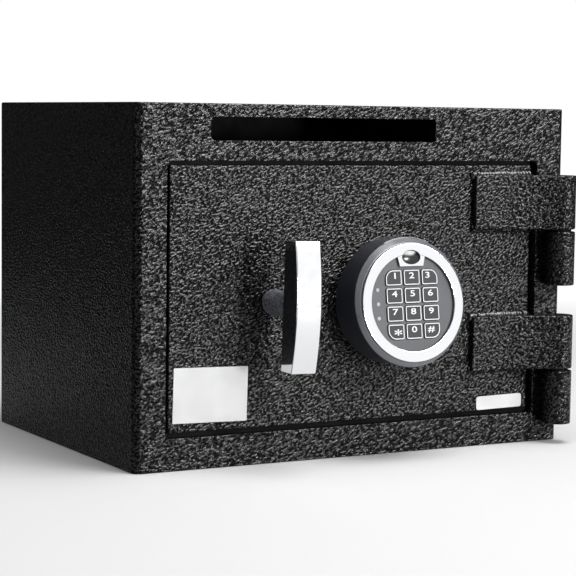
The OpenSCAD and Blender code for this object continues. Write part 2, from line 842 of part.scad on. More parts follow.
// The core's side outline has its two front corners rounded, where the cover's inside is filled
module core_side() {
    half = grip_len / 2 - cover_end_t;
    round_z = half - inner_fillet;
    round_y = grip_front_y + bow_r - sqrt(pow(bow_r - cover_t, 2) - pow(round_z, 2)) + inner_fillet;
    difference() {
        grip_side(cover_t, cover_end_t);
        for (s = [-1, 1]) difference() {
            translate([round_y - inner_fillet - 1, s > 0 ? round_z : -half - 1])
                square([inner_fillet + 1, inner_fillet + 1]);
            translate([round_y, s * round_z]) circle(r = inner_fillet);
        }
    }
}

module at_handle() {
    translate([handle_x, 0, handle_z]) rotate([0, handle_lean, 0]) children();
}

module handle_core() {
    color(black_plastic) difference() {
        union() {
            at_handle() along_x(-grip_w / 2, grip_w / 2) core_side();
            rod_y(stem_r, handle_x, handle_z, grip_back_y - 1, stem_y1);
        }
        rod_y(spindle_r + held_gap, handle_x, handle_z, spindle_front_y, stem_y1 + 1);
    }
}

module handle_cover() {
    color(chrome) at_handle() along_x(-grip_w / 2, grip_w / 2) difference() {
        grip_side(0, 0);
        core_side();
    }
}

// A pin of radius r, upright through the spindle, that reaches half_len to each side of it
module cross_pin(r, half_len) {
    translate([handle_x, cam_pin_y, handle_z - half_len]) cylinder(r = r, h = 2 * half_len);
}

module handle_spindle() {
    color(bare_steel) difference() {
        rod_y(spindle_r, handle_x, handle_z, spindle_front_y, spindle_back_y);
        cross_pin(cam_pin_r + held_gap, hub_r + 1);
    }
}

// The follower's path in the cam: its radius grows evenly with the turn
function cam_point(t, off) = let (
        r = cam_path_r + throw * t,
        a = 180 - handle_turn * t,
        slope = throw / (handle_turn * PI / 180 * r),
        n = [cos(a), sin(a)] + slope * [-sin(a), cos(a)])
    r * [cos(a), sin(a)] + off * n / norm(n);
cam_steps = 30;
cam_over = 0.015;
cam_half_w = follower_r + 0.2;

module cam_slot() {
    ts = [for (i = [0 : cam_steps]) -cam_over + (1 + 2 * cam_over) * i / cam_steps];
    polygon(concat(
        [for (t = ts) cam_point(t, cam_half_w)],
        [for (i = [cam_steps : -1 : 0]) cam_point(ts[i], -cam_half_w)]));
    for (t = [-cam_over, 1 + cam_over])
        translate(cam_point(t, 0)) circle(r = cam_half_w);
}

module cam_disc() {
    color(bare_steel) difference() {
        union() {
            rod_y(cam_r, handle_x, handle_z, cam_y0, cam_y1);
            rod_y(hub_r, handle_x, handle_z, hub_y0, cam_y1);
        }
        along_y(cam_y0 - 1, cam_y1 + 1) translate([handle_x, handle_z]) cam_slot();
        rod_y(spindle_r + held_gap, handle_x, handle_z, hub_y0 - 1, cam_y1 + 1);
        cross_pin(cam_pin_r + held_gap, hub_r + 1);
    }
}

module cam_pin() {
    color(bare_steel) cross_pin(cam_pin_r, hub_r - 0.5);
}

module retaining_ring() {
    color(bare_steel) difference() {
        rod_y(spindle_r + 3, handle_x, handle_z, bolt_back_y + seat_gap, bolt_back_y + seat_gap + 1.5);
        rod_y(spindle_r + held_gap, handle_x, handle_z, bolt_back_y, bolt_back_y + seat_gap + 2.5);
    }
}

// Boltwork
module locking_bolts() {
    color(bare_steel) for (z = bolt_zs) {
        translate([bolt_tip_x, bolt_y, z]) rotate([0, 90, 0])
            cylinder(r1 = bolt_r - bolt_chamfer, r2 = bolt_r, h = bolt_chamfer);
        rod_x(bolt_r, bolt_y, z, bolt_tip_x + bolt_chamfer, bar_x0);
        rod_x(rivet_r, bolt_y, z, bar_x0 - 1, bar_x1 + 0.5);
    }
}

module bolt_carriage() {
    z0 = bolt_zs[0] - bar_lap;
    z1 = bolt_zs[2] + bar_lap;
    color(bare_steel) difference() {
        union() {
            translate([bar_x0, door_back_y + guide_wall, z0])
                cube([bar_w, bolt_back_y - door_back_y - guide_wall, z1 - z0]);
            translate([bar_x1 - eps, plate_y0, handle_z - plate_h / 2])
                cube([plate_x1 - bar_x1 + eps, plate_t, plate_h]);
        }
        for (z = bolt_zs)
            rod_x(rivet_r + held_gap, bolt_y, z, bar_x0 - 1, bar_x1 + 1);
        rod_y(follower_r + held_gap, handle_x - cam_path_r, handle_z, plate_y0 - 1, bolt_back_y + 1);
        along_y(plate_y0 - 1, bolt_back_y + 1) translate([handle_x, handle_z]) {
            translate([0, -spindle_r - seat_gap]) square([throw, 2 * (spindle_r + seat_gap)]);
            for (x = [0, throw]) translate([x, 0]) circle(r = spindle_r + seat_gap);
        }
        for (x = [lock_x, lock_x + throw])
            translate([x - lock_bolt_w / 2 - notch_gap, plate_y0 - 1, handle_z - plate_h / 2 - 1])
                cube([lock_bolt_w + 2 * notch_gap, plate_t + 2, notch_h + 1]);
    }
}

module follower_pin() {
    color(bare_steel) rod_y(follower_r, handle_x - cam_path_r, handle_z, cam_y0 + 0.5, bolt_back_y);
}

// Lock
module lock_case() {
    bolt_hole_w = lock_bolt_w + 0.4;
    bolt_hole_d = lock_bolt_d + 0.4;
    rib_d = lock_bolt_y + lock_bolt_d / 2 - door_back_y - lock_wall;
    color(grey_plastic) {
        difference() {
            translate([lock_x0, door_back_y, lock_z0]) cube([lock_w, lock_d, lock_h]);
            translate([lock_x0 + lock_wall, door_back_y + lock_wall, lock_z0 + lock_wall])
                cube([lock_w - 2 * lock_wall, lock_d, lock_h - 2 * lock_wall]);
            translate([lock_x - bolt_hole_w / 2, lock_bolt_y - bolt_hole_d / 2, lock_top_z - lock_wall - 1])
                cube([bolt_hole_w, bolt_hole_d, lock_wall + 2]);
            rod_y(cable_hole_r, keypad_x, cable_z, door_back_y - 1, door_back_y + lock_wall + 1);
            for (x = lock_screw_xs)
                rod_y(screw_r + held_gap, x, lock_screw_z, door_back_y - 1, door_back_y + lock_wall + 1);
        }
        // Ledge that the drawn lock bolt rests on, and the two ribs that guide the bolt
        translate([lock_x - bolt_hole_w / 2 - rib_t, door_back_y + lock_wall - eps, lock_bolt_z0 - ledge_t])
            cube([bolt_hole_w + 2 * rib_t, rib_d, ledge_t]);
        for (x = [lock_x - bolt_hole_w / 2 - rib_t, lock_x + bolt_hole_w / 2])
            translate([x, door_back_y + lock_wall - eps, lock_bolt_z0 - eps])
                cube([rib_t, rib_d, lock_top_z - lock_wall - lock_bolt_z0 + 2 * eps]);
    }
}

module lock_case_lid() {
    color(grey_plastic) translate([lock_x0, lock_y1, lock_z0]) cube([lock_w, 1.5, lock_h]);
}

module lock_motor() {
    x = lock_x + lock_bolt_w / 2 + rib_t + motor_r + 1.5;
    y = door_back_y + lock_wall + motor_r;
    z = lock_z0 + lock_wall;
    color(bare_steel) {
        translate([x, y, z]) cylinder(r = motor_r, h = motor_h);
        translate([x, y, z + motor_h - eps]) cylinder(r = 1.5, h = 9);
    }
}

module lock_screws() {
    color(bare_steel) for (x = lock_screw_xs) {
        rod_y(screw_r, x, lock_screw_z, door_back_y - screw_depth, door_back_y + lock_wall + eps);
        rod_y(screw_head_r, x, lock_screw_z, door_back_y + lock_wall,
            door_back_y + lock_wall + screw_head_h);
    }
}

module lock_bolt() {
    color(bare_steel) translate([lock_x - lock_bolt_w / 2, lock_bolt_y - lock_bolt_d / 2, lock_bolt_z0])
        cube([lock_bolt_w, lock_bolt_d, lock_bolt_h]);
}

// Keypad
module keypad_cable() {
    end_y = board_back_y + (cable_r - cable_drop) * tan(keypad_tilt) + 0.05;
    color(black_plastic) rod_y(cable_r, keypad_x, cable_z, end_y, door_back_y + 8);
}

module keypad_base() {
    color(black_plastic) difference() {
        rod_y(base_r, keypad_x, keypad_z, door_y - base_t, door_y);
        rod_y(cable_hole_r, keypad_x, cable_z, door_y - base_t - 1, door_y + 1);
        for (x = keypad_screw_xs)
            rod_y(screw_r + held_gap, x, keypad_z, door_y - base_t - 1, door_y + 1);
    }
}

module keypad_screws() {
    color(bare_steel) for (x = keypad_screw_xs) {
        rod_y(screw_r, x, keypad_z, door_y - base_t - eps, door_back_y);
        rod_y(screw_head_r, x, keypad_z, door_y - base_t - screw_head_h, door_y - base_t);
    }
}

module keypad_housing() {
    color(black_plastic) difference() {
        // Barrel with a bevelled rim that is tilted with the face
        intersection() {
            rod_y(keypad_r, keypad_x, keypad_z, keypad_front_y, door_y);
            on_face() rotate_extrude() polygon([
                [0, rim_w - trim_d],
                [trim_r, rim_w - trim_d],
                [trim_r, rim_w],
                [rim_r1, rim_w],
                [rim_r0, plate_w],
                [0, plate_w]]);
        }
        // Hollow behind the face, open to the door, with a raised ring that the board rests on
        difference() {
            intersection() {
                rod_y(keypad_r - keypad_wall, keypad_x, keypad_z, keypad_front_y, door_y + 1);
                on_face() translate([0, 0, ledge_w - trim_d]) cylinder(r = trim_r, h = trim_d);
            }
            on_face() translate([0, 0, board_top_w]) cylinder(r = board_r - 1, h = 10);
        }
        // Seat of the panel, and the window behind it
        on_face() translate([0, 0, panel_w]) cylinder(r = ring_in_r + 0.2, h = 20);
        on_face() translate([0, 0, board_top_w - 1]) cylinder(r = window_r, h = 20);
    }
}

// The ring's tab hangs down into the ring's opening and widens to its edge
module tab_outline() {
    top_v = 32.3;
    top_u = sqrt(pow(ring_in_r, 2) - pow(top_v, 2));
    polygon([[-tab_w / 2, tab_v], [tab_w / 2, tab_v], [top_u, top_v], [top_u, ring_in_r + 1],
        [-top_u, ring_in_r + 1], [-top_u, top_v]]);
}

// The lens's oval, t smaller all round
module lens_outline(t) {
    u = lens_w / 2 - t;
    v = lens_h / 2 - t;
    polygon([for (a = [0:6:354]) [u * cos(a), lens_v + v * sin(a)]]);
}

module keypad_ring() {
    color(chrome) on_face() difference() {
        union() {
            rotate_extrude($fn = 128) {
                translate([ring_in_r + ring_t / 2, plate_w]) square([ring_w - ring_t, ring_t]);
                translate([ring_in_r, plate_w]) square([ring_w, ring_t / 2]);
                for (r = [ring_in_r + ring_t / 2, ring_r - ring_t / 2])
                    translate([r, plate_w + ring_t / 2]) circle(r = ring_t / 2, $fn = 32);
            }
            translate([0, 0, plate_w]) linear_extrude(height = ring_t - 0.2) tab_outline();
        }
        translate([0, 0, plate_w - 1]) linear_extrude(height = 6) lens_outline(0);
    }
}

module keypad_lens() {
    color(lens_black) on_face() translate([0, 0, plate_w])
        linear_extrude(height = ring_t + 0.3) lens_outline(0.05);
}

// Outline of a key: the four corner keys have one large outer radius; grow widens it all round
module key_outline(col, row, grow) {
    u = col * key_dx;
    v = (1.5 - row) * key_dv - key_v;
    small = key_r + grow;
    big = key_big_r + grow;
    corner_rect(u - key_w / 2 - grow, v - key_h / 2 - grow, u + key_w / 2 + grow, v + key_h / 2 + grow,
        row == 3 && col == -1 ? big : small,
        row == 3 && col == 1 ? big : small,
        row == 0 && col == 1 ? big : small,
        row == 0 && col == -1 ? big : small);
}

module keypad_panel() {
    color(grey_plastic) on_face() difference() {
        translate([0, 0, panel_w]) cylinder(r = ring_in_r, h = panel_t, $fn = 128);
        for (k = KEYS)
            translate([0, 0, panel_w - 1]) linear_extrude(height = panel_t + 2)
                key_outline(k[1], k[2], window_gap);
        for (i = [-1 : 1])
            translate([-light_u, i * light_dv, panel_w - 1])
                cylinder(r = light_r + held_gap, h = panel_t + 2);
    }
}

module keypad_lights() {
    color(light_grey) on_face() for (i = [-1 : 1])
        translate([-light_u, i * light_dv, panel_w]) cylinder(r = light_r, h = panel_t + 0.2);
}

module keypad_board() {
    color(board_green) on_face() translate([0, 0, board_top_w - board_t])
        cylinder(r = board_r, h = board_t);
}

module keypad_battery() {
    color(battery_blue) translate([keypad_x - battery_w / 2, door_y - base_t - seat_gap - battery_d,
        keypad_z - battery_drop - battery_h / 2]) cube([battery_w, battery_d, battery_h]);
}

// A key: its cap in the panel's window and a flange that keeps it from falling out
module key(col, row) {
    color(key_rubber) on_face() {
        translate([0, 0, panel_w - seat_gap]) linear_extrude(height = panel_t + seat_gap + key_proud)
            key_outline(col, row, 0);
        translate([0, 0, panel_w - seat_gap - key_flange_t]) linear_extrude(height = key_flange_t)
            key_outline(col, row, key_flange);
    }
}

front_shell();
top_panel();
floor_panel();
rear_panel();
chute_tray();
anti_fish_plate();
upper_door_stop();
lower_door_stop();
upper_body_knuckle();
lower_body_knuckle();
hinge_pins();
hinge_washers();
door_plate();
upper_hinge_arm();
lower_hinge_arm();
dead_bar();
bolt_guide();
door_back_cover();
cover_posts();
back_cover_screws();
spindle_bush();
door_label();
serial_label();
lock_case();
lock_case_lid();
lock_motor();
lock_screws();
keypad_cable();
keypad_base();
keypad_screws();
keypad_housing();
keypad_ring();
keypad_panel();
keypad_lens();
keypad_lights();
keypad_board();
keypad_battery();
handle_core();
handle_cover();
handle_spindle();
cam_disc();
cam_pin();
retaining_ring();
bolt_carriage();
locking_bolts();
follower_pin();
lock_bolt();
key(-1, 0);  // key_1
key(0, 0);  // key_2
key(1, 0);  // key_3
key(-1, 1);  // key_4
key(0, 1);  // key_5
key(1, 1);  // key_6
key(-1, 2);  // key_7
key(0, 2);  // key_8
key(1, 2);  // key_9
key(-1, 3);  // key_star
key(0, 3);  // key_0
key(1, 3);  // key_hash
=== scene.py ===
"""The looks of a front-loading drop safe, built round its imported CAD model.

A value that ends in _mm is in millimetres and one that ends in _m in metres, which is Blender's own unit.
The frame's origin is the middle of the cabinet's underside, its front faces -Y and +Z is up.
"""

import json
import logging
import math
import random
from dataclasses import dataclass, field
from enum import Enum
from typing import Any, Callable, Iterable

import bmesh
import bpy
from bmesh.types import BMEdge, BMesh, BMFace, BMVert
from bpy.types import ID, Material, Node, NodeSocket, NodeTree, Object
from mathutils import Matrix, Vector


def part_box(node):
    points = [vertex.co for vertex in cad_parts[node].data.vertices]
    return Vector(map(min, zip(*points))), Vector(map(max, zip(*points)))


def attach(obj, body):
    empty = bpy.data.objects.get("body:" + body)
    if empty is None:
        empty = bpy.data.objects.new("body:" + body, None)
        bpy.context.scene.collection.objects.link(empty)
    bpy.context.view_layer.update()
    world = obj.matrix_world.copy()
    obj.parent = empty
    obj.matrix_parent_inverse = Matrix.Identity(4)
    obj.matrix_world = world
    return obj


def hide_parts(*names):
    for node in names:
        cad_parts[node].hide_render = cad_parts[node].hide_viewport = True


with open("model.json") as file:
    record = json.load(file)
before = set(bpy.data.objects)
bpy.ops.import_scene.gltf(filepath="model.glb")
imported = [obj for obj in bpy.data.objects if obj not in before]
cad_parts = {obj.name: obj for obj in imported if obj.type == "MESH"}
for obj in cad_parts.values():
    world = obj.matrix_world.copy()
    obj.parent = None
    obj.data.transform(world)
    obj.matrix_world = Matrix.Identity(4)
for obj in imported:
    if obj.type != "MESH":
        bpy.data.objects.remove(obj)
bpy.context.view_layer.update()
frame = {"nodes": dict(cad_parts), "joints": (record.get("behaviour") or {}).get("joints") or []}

Settings = dict[str | int, Any]
Links = dict[str | int, Node | NodeSocket]
Triple = tuple[float, float, float]
EdgeTest = Callable[[BMEdge], bool]

MM = 0.001
# Points this near a plane lie in it
NEAR = 0.02 * MM
# Faces that meet at less than this are one flat face of the CAD model
FLAT_DEG = 0.1
# Edges that fold by more than this can be rounded, and from this on they are shaded as sharp
ROUNDED_DEG = 35
SHARP_DEG = 32
# Width of one band of the Wave Texture at a scale of 1
BAND_WIDTH = 0.314
# Nearly all of a Noise Texture's values lie between these
NOISE_SPAN = (0.3, 0.7)
RIGHT = Vector((1, 0, 0))
LOG = logging.getLogger("drop_safe")


class Body(Enum):
    """The bodies that pieces ride on, apart from the keys' own."""

    CABINET = "cabinet"
    DOOR = "door"
    HANDLE = "handle"
    BOLTWORK = "boltwork"
    LOCK_BOLT = "lock_bolt"


class Slot(Enum):
    """The record's material slots."""

    COAT = "coat"
    BARE_STEEL = "bare_steel"
    BRASS = "brass"
    LABEL_FILM = "label_film"
    LOCK_PLASTIC = "lock_plastic"
    BLACK_PLASTIC = "black_plastic"
    CHROME = "chrome"
    PANEL_GREY = "panel_grey"
    LENS_BLACK = "lens_black"
    LIGHT_GREY = "light_grey"
    BOARD_GREEN = "board_green"
    BATTERY_CASE = "battery_case"
    BLACK_ENAMEL = "black_enamel"
    KEY_RUBBER = "key_rubber"


class Side(Enum):
    """The two hinges."""

    UPPER = "upper"
    LOWER = "lower"


class Mark(Enum):
    """The keys, by node, with the sign printed on each and how far it is shifted to the right and up."""

    ONE = ("key_1", "1", 1.1)
    TWO = ("key_2", "2")
    THREE = ("key_3", "3", -1.8)
    FOUR = ("key_4", "4")
    FIVE = ("key_5", "5")
    SIX = ("key_6", "6")
    SEVEN = ("key_7", "7")
    EIGHT = ("key_8", "8")
    NINE = ("key_9", "9")
    STAR = ("key_star", "*", 1.4, -0.3)
    ZERO = ("key_0", "0")
    HASH = ("key_hash", "#", -0.8, 0.8)

    def __init__(self, node: str, sign: str, right_mm: float = 0.0, up_mm: float = 0.0) -> None:
        """Keeps a key's values under their names.

        Args:
            node: the key's node.
            sign: the sign on its top.
            right_mm: how far the sign stands to the right of its usual place.
            up_mm: how far it stands above it.
        """
        self.node = node
        self.sign = sign
        self.right_mm = right_mm
        self.up_mm = up_mm


def linear(hex_colour: str) -> tuple[float, float, float, float]:
    """Turns an sRGB hex colour into linear RGBA.

    Args:
        hex_colour: the colour, as "#rrggbb".

    Returns:
        The red, green, blue and alpha that Blender's sockets take.
    """
    parts = [int(hex_colour[i:i + 2], 16) / 255 for i in (1, 3, 5)]
    red, green, blue = (p / 12.92 if p <= 0.04045 else ((p + 0.055) / 1.055) ** 2.4 for p in parts)
    return (red, green, blue, 1.0)


def blotches(size_mm: float, detail: float) -> Settings:
    """The settings of a noise whose blotches are size_mm across, with so many finer layers."""
    return {"Scale": 1 / (size_mm * MM), "Detail": detail}


def ramp(start: float, end: float, low: float, high: float) -> Settings:
    """The settings that map a value smoothly, from low at start to high at end."""
    return {"interpolation_type": "SMOOTHSTEP", "From Min": start, "From Max": end, "To Min": low,
            "To Max": high}


def blend(first: str, second: str) -> Settings:
    """The settings that mix two hex colours, from the first at 0 to the second at 1."""
    return {"data_type": "RGBA", 6: linear(first), 7: linear(second)}


def in_use(source: Node | NodeSocket) -> NodeSocket:
    """A socket itself, or a node's first output in use."""
    return source if isinstance(source, NodeSocket) else next(s for s in source.outputs if s.enabled)


def add(tree: NodeTree, kind: str, settings: Settings | None = None, links: Links | None = None,
        feeds: NodeSocket | None = None) -> Node:
    """Adds a node with its settings and links.

    Args:
        tree: the node tree that gets the node.
        kind: the node's type name.
        settings: values, by input name or number, or by the node's own attribute in small letters.
        links: what feeds the node's inputs.
        feeds: the input that the node feeds.

    Returns:
        The new node.
    """
    node = tree.nodes.new(kind)
    for name, value in (settings or {}).items():
        if isinstance(name, str) and name.islower():
            setattr(node, name, value)
        else:
            node.inputs[name].default_value = value
    for name, source in (links or {}).items():
        tree.links.new(in_use(source), node.inputs[name])
    if feeds is not None:
        tree.links.new(in_use(node), feeds)
    return node


@dataclass(frozen=True)
class Finish:
    """A surface finish. Its material is made the first time that it is asked for."""

    title: str
    base: str
    roughness: float
    metallic: float = 0.0
    specular: float = 0.5

    def material(self) -> Material:
        """Makes the finish's material, or finds the one made before.

        Returns:
            The material.
        """
        made = bpy.data.materials.get(self.title)
        if made:
            return made
        made = bpy.data.materials.new(self.title)
        made.use_nodes = True
        tree = made.node_tree
        tree.nodes.clear()
        shader = add(tree, "ShaderNodeBsdfPrincipled", {
            "Base Color": linear(self.base), "Roughness": self.roughness, "Metallic": self.metallic,
            "Specular IOR Level": self.specular})
        add(tree, "ShaderNodeOutputMaterial", links={"Surface": shader})
        self.pattern(tree, shader, add(tree, "ShaderNodeTexCoord").outputs["Object"])
        return made

    def pattern(self, tree: NodeTree, shader: Node, place: NodeSocket) -> None:
        """Adds the finish's own pattern to its shader.

        Args:
            tree: the material's node tree.
            shader: the material's shader.
            place: the coordinates of the surface, in metres.
        """


@dataclass(frozen=True)
class HammertoneCoat(Finish):
    """Baked powder coat with a hammered texture: smooth lumps that catch the light as short bright worms,
    drawn out along a slanting line. The valleys between them get a darker colour and a lower specular:
    painted shade."""

    lump_mm: float = 1.8
    lump_depth_mm: float = 1.15
    lean_deg: float = -28.0
    stretch: Triple = (1.4, 1.0, 0.8)
    # The valleys' colour and specular, darker and lower than the lumps': painted shade
    valley_shade: str = "#080807"
    valley_specular: float = 0.04
    colour_span: tuple[float, float] = (0.4, 0.6)
    shine_span: tuple[float, float] = (0.44, 0.58)

    def pattern(self, tree: NodeTree, shader: Node, place: NodeSocket) -> None:
        """Adds the lumps and the painted shade in the valleys.

        Args:
            tree: the material's node tree.
            shader: the material's shader.
            place: the coordinates of the surface, in metres.
        """
        leant = add(tree, "ShaderNodeMapping", {"vector_type": "TEXTURE", "Scale": self.stretch,
                                                "Rotation": (0, math.radians(self.lean_deg), 0)},
                    {"Vector": place})
        swell = add(tree, "ShaderNodeTexNoise", blotches(self.lump_mm, detail=1.0), {"Vector": leant})
        add(tree, "ShaderNodeBump", {"Distance": self.lump_depth_mm * MM}, {"Height": swell},
            shader.inputs["Normal"])
        # Painted shade: where the noise is low, the colour turns to the valleys' darker one and the specular
        # falls
        valley_shade_share = add(tree, "ShaderNodeMapRange", ramp(*self.colour_span, 1.0, 0.0), {"Value": swell})
        add(tree, "ShaderNodeMix", blend(self.base, self.valley_shade), {0: valley_shade_share}, shader.inputs["Base Color"])
        add(tree, "ShaderNodeMapRange", ramp(*self.shine_span, self.valley_specular, self.specular),
            {"Value": swell}, shader.inputs["Specular IOR Level"])


@dataclass(frozen=True)
class MouldedPlastic(Finish):
    """A satin surface with a fine even grain, which softens its sheen in faint clouds.

    The grain of a spark-eroded mould is about 0.1 mm wide. It is drawn wider, so that it shows.
    """

    grain_mm: float = 0.6
    grain_depth_mm: float = 0.02
    cloud_mm: float = 18.0
    sheen_less: float = 0.05
    sheen_more: float = 0.06

    def pattern(self, tree: NodeTree, shader: Node, place: NodeSocket) -> None:
        """Adds the grain and the clouds.

        Args:
            tree: the material's node tree.
            shader: the material's shader.
            place: the coordinates of the surface, in metres.
        """
        grain = add(tree, "ShaderNodeTexNoise", blotches(self.grain_mm, detail=2.0), {"Vector": place})
        add(tree, "ShaderNodeBump", {"Distance": self.grain_depth_mm * MM}, {"Height": grain},
            shader.inputs["Normal"])
        cloud = add(tree, "ShaderNodeTexNoise", blotches(self.cloud_mm, detail=3.0), {"Vector": place})
        add(tree, "ShaderNodeMapRange",
            ramp(*NOISE_SPAN, self.roughness - self.sheen_less, self.roughness + self.sheen_more),
            {"Value": cloud}, shader.inputs["Roughness"])


@dataclass(frozen=True)
class ChromePlate(Finish):
    """Polished chrome plating: a near mirror with faint buffing haze and a slight roll in its surface."""

    haze_mm: float = 9.0
    haze_roughness: float = 0.07
    roll_mm: float = 14.0
    roll_depth_mm: float = 0.015

    def pattern(self, tree: NodeTree, shader: Node, place: NodeSocket) -> None:
        """Adds the buffing haze and the roll.

        Args:
            tree: the material's node tree.
            shader: the material's shader.
            place: the coordinates of the surface, in metres.
        """
        haze = add(tree, "ShaderNodeTexNoise", blotches(self.haze_mm, detail=4.0), {"Vector": place})
        add(tree, "ShaderNodeMapRange",
            ramp(*NOISE_SPAN, self.roughness, self.roughness + self.haze_roughness),
            {"Value": haze}, shader.inputs["Roughness"])
        roll = add(tree, "ShaderNodeTexNoise", blotches(self.roll_mm, detail=0.0), {"Vector": place})
        add(tree, "ShaderNodeBump", {"Distance": self.roll_depth_mm * MM}, {"Height": roll},
            shader.inputs["Normal"])


@dataclass(frozen=True)
class EdgedChrome(ChromePlate):
    """Chrome plating on a flat face whose rounded edges are rougher and darker: the darkening is painted
    shade.
    """

    facing: Triple = (0.0, -0.991, 0.134)
    edge_shade_colour: str = "#6c6d70"
    edge_roughness: float = 0.5
    edge_span: tuple[float, float] = (0.86, 0.97)

    def pattern(self, tree: NodeTree, shader: Node, place: NodeSocket) -> None:
        """Adds rougher, darker edges to the plating, where the surface turns away from the face's direction:
        the darkening is painted shade.

        Args:
            tree: the material's node tree.
            shader: the material's shader.
            place: the coordinates of the surface, in metres.
        """
        super().pattern(tree, shader, place)
        normal = add(tree, "ShaderNodeTexCoord").outputs["Normal"]
        flat = add(tree, "ShaderNodeVectorMath", {"operation": "DOT_PRODUCT", 1: self.facing}, {0: normal})
        turned = add(tree, "ShaderNodeMapRange", ramp(*self.edge_span, 1.0, 0.0), {"Value": flat})
        # Painted shade: the colour darkens where the surface turns away from the face
        add(tree, "ShaderNodeMix", blend(self.base, self.edge_shade_colour), {0: turned},
            shader.inputs["Base Color"])
        add(tree, "ShaderNodeMapRange", ramp(*self.edge_span, self.edge_roughness, self.roughness),
            {"Value": flat}, shader.inputs["Roughness"])


@dataclass(frozen=True)
class ZincPlate(Finish):
    """Zinc-plated steel: satin metal with drifting spangles and a cool cast."""

    spangle_mm: float = 3.0
    second: str = "#a3a7ab"
    sheen_less: float = 0.08
    sheen_more: float = 0.1

    def pattern(self, tree: NodeTree, shader: Node, place: NodeSocket) -> None:
        """Adds the spangles.

        Args:
            tree: the material's node tree.
            shader: the material's shader.
            place: the coordinates of the surface, in metres.
        """
        spangle = add(tree, "ShaderNodeTexNoise", blotches(self.spangle_mm, detail=4.0), {"Vector": place})
        share = add(tree, "ShaderNodeMapRange", ramp(*NOISE_SPAN, 0.0, 1.0), {"Value": spangle})
        add(tree, "ShaderNodeMix", blend(self.base, self.second), {0: share}, shader.inputs["Base Color"])
        add(tree, "ShaderNodeMapRange",
            ramp(*NOISE_SPAN, self.roughness - self.sheen_less, self.roughness + self.sheen_more),
            {"Value": spangle}, shader.inputs["Roughness"])


@dataclass(frozen=True)
class TurnedBrass(Finish):
    """Lathe-turned brass: warm metal with fine rings left by the tool across its axis.

    The tool's feed is about 0.1 mm. The rings are drawn wider, so that they show.
    """

    ring_mm: float = 0.5
    ring_depth_mm: float = 0.01
    waver: float = 0.4

    def pattern(self, tree: NodeTree, shader: Node, place: NodeSocket) -> None:
        """Adds the tool's rings along Y.

        Args:
            tree: the material's node tree.
            shader: the material's shader.
            place: the coordinates of the surface, in metres.
        """
        rings = add(tree, "ShaderNodeTexWave", {
            "wave_type": "BANDS", "bands_direction": "Y", "Scale": BAND_WIDTH / (self.ring_mm * MM),
            "Distortion": self.waver}, {"Vector": place})
        add(tree, "ShaderNodeBump", {"Distance": self.ring_depth_mm * MM}, {"Height": rings.outputs["Fac"]},
            shader.inputs["Normal"])


@dataclass(frozen=True)
class LabelFilm(Finish):
    """Bare self-adhesive film: satin white in faint clouds, with the coat's lumps showing through it."""

    lump_mm: float = 2.4
    lump_depth_mm: float = 0.03
    cloud_mm: float = 22.0
    second: str = "#cdcecd"

    def pattern(self, tree: NodeTree, shader: Node, place: NodeSocket) -> None:
        """Adds the lumps that show through and the clouds.

        Args:
            tree: the material's node tree.
            shader: the material's shader.
            place: the coordinates of the surface, in metres.
        """
        lumps = add(tree, "ShaderNodeTexNoise", blotches(self.lump_mm, detail=1.0), {"Vector": place})
        add(tree, "ShaderNodeBump", {"Distance": self.lump_depth_mm * MM}, {"Height": lumps},
            shader.inputs["Normal"])
        cloud = add(tree, "ShaderNodeTexNoise", blotches(self.cloud_mm, detail=1.0), {"Vector": place})
        share = add(tree, "ShaderNodeMapRange", ramp(*NOISE_SPAN, 0.0, 1.0), {"Value": cloud})
        add(tree, "ShaderNodeMix", blend(self.base, self.second), {0: share}, shader.inputs["Base Color"])


# Powder coat, sprayed and baked until it draws into lumps: black, with short glossy glints and painted shade
# in the valleys between the lumps
COAT = HammertoneCoat("hammertone_powder_coat", "#151514", 0.16, specular=0.38)
# The same coat on the welds along the top of each hinge arm, greyer, smoother and with more specular in its
# valleys: painted highlight where these welds face the light
HEAD_WELD_LIT_COAT = HammertoneCoat("coat_painted_lighter_on_head_welds", "#1e1f22", 0.26, lump_depth_mm=0.3,
                           valley_specular=0.45)
# Stoved enamel on a die casting: near black and half dull, with a low texture and painted shade in its
# valleys
CORE_COAT = HammertoneCoat("textured_black_enamel", "#232428", 0.42, lump_depth_mm=0.6,
                           valley_shade="#1a1b1e", valley_specular=0.3)
# The grip's coat on its stem, made mid grey and satin: painted light standing in for the light on the stem,
# with painted shade in the valleys of its low lumps
STEM_LIT_COAT = HammertoneCoat("stem_coat_painted_lighter", "#76787f", 0.3, specular=0.7, lump_depth_mm=0.4,
                            valley_shade="#4a4b50", valley_specular=0.4)
# Steel made matt near black with little specular: painted shade that keeps the chute's slot and the inside
# black; it has a fine grain
SLOT_SHADE_STEEL = MouldedPlastic("steel_painted_black_as_shade", "#08080a", 0.6, specular=0.1)
# Moulded ABS: a blue-black satin wall
HOUSING_ABS = MouldedPlastic("satin_black_abs", "#2a2b31", 0.36)
# The same ABS made grey on the bevelled rim: painted light where the rim catches the light, framing the
# chrome ring with a soft grey line
RIM_LIT_ABS = MouldedPlastic("satin_abs_rim_painted_lighter", "#67686d", 0.3)
# Hard-coated polycarbonate film: an even dark grey field round the keys
PANEL_FILM = MouldedPlastic("grey_polycarbonate_panel", "#3a3b3f", 0.38, grain_mm=0.35, grain_depth_mm=0.012)
# Moulded silicone rubber: charcoal, soft and nearly without a highlight
KEY_RUBBER = MouldedPlastic("charcoal_key_rubber", "#1c1d1f", 0.5, specular=0.3, grain_mm=0.4,
                            grain_depth_mm=0.015)
# Pad-printed ink: thick off-white signs
KEY_PRINT = MouldedPlastic("white_key_print", "#e8e9eb", 0.5, grain_mm=0.3, grain_depth_mm=0.006)
# The same ink in a thin line, which looks a shade darker
KEY_BORDER = MouldedPlastic("light_grey_key_border", "#e0e1e4", 0.45, grain_mm=0.3, grain_depth_mm=0.006)
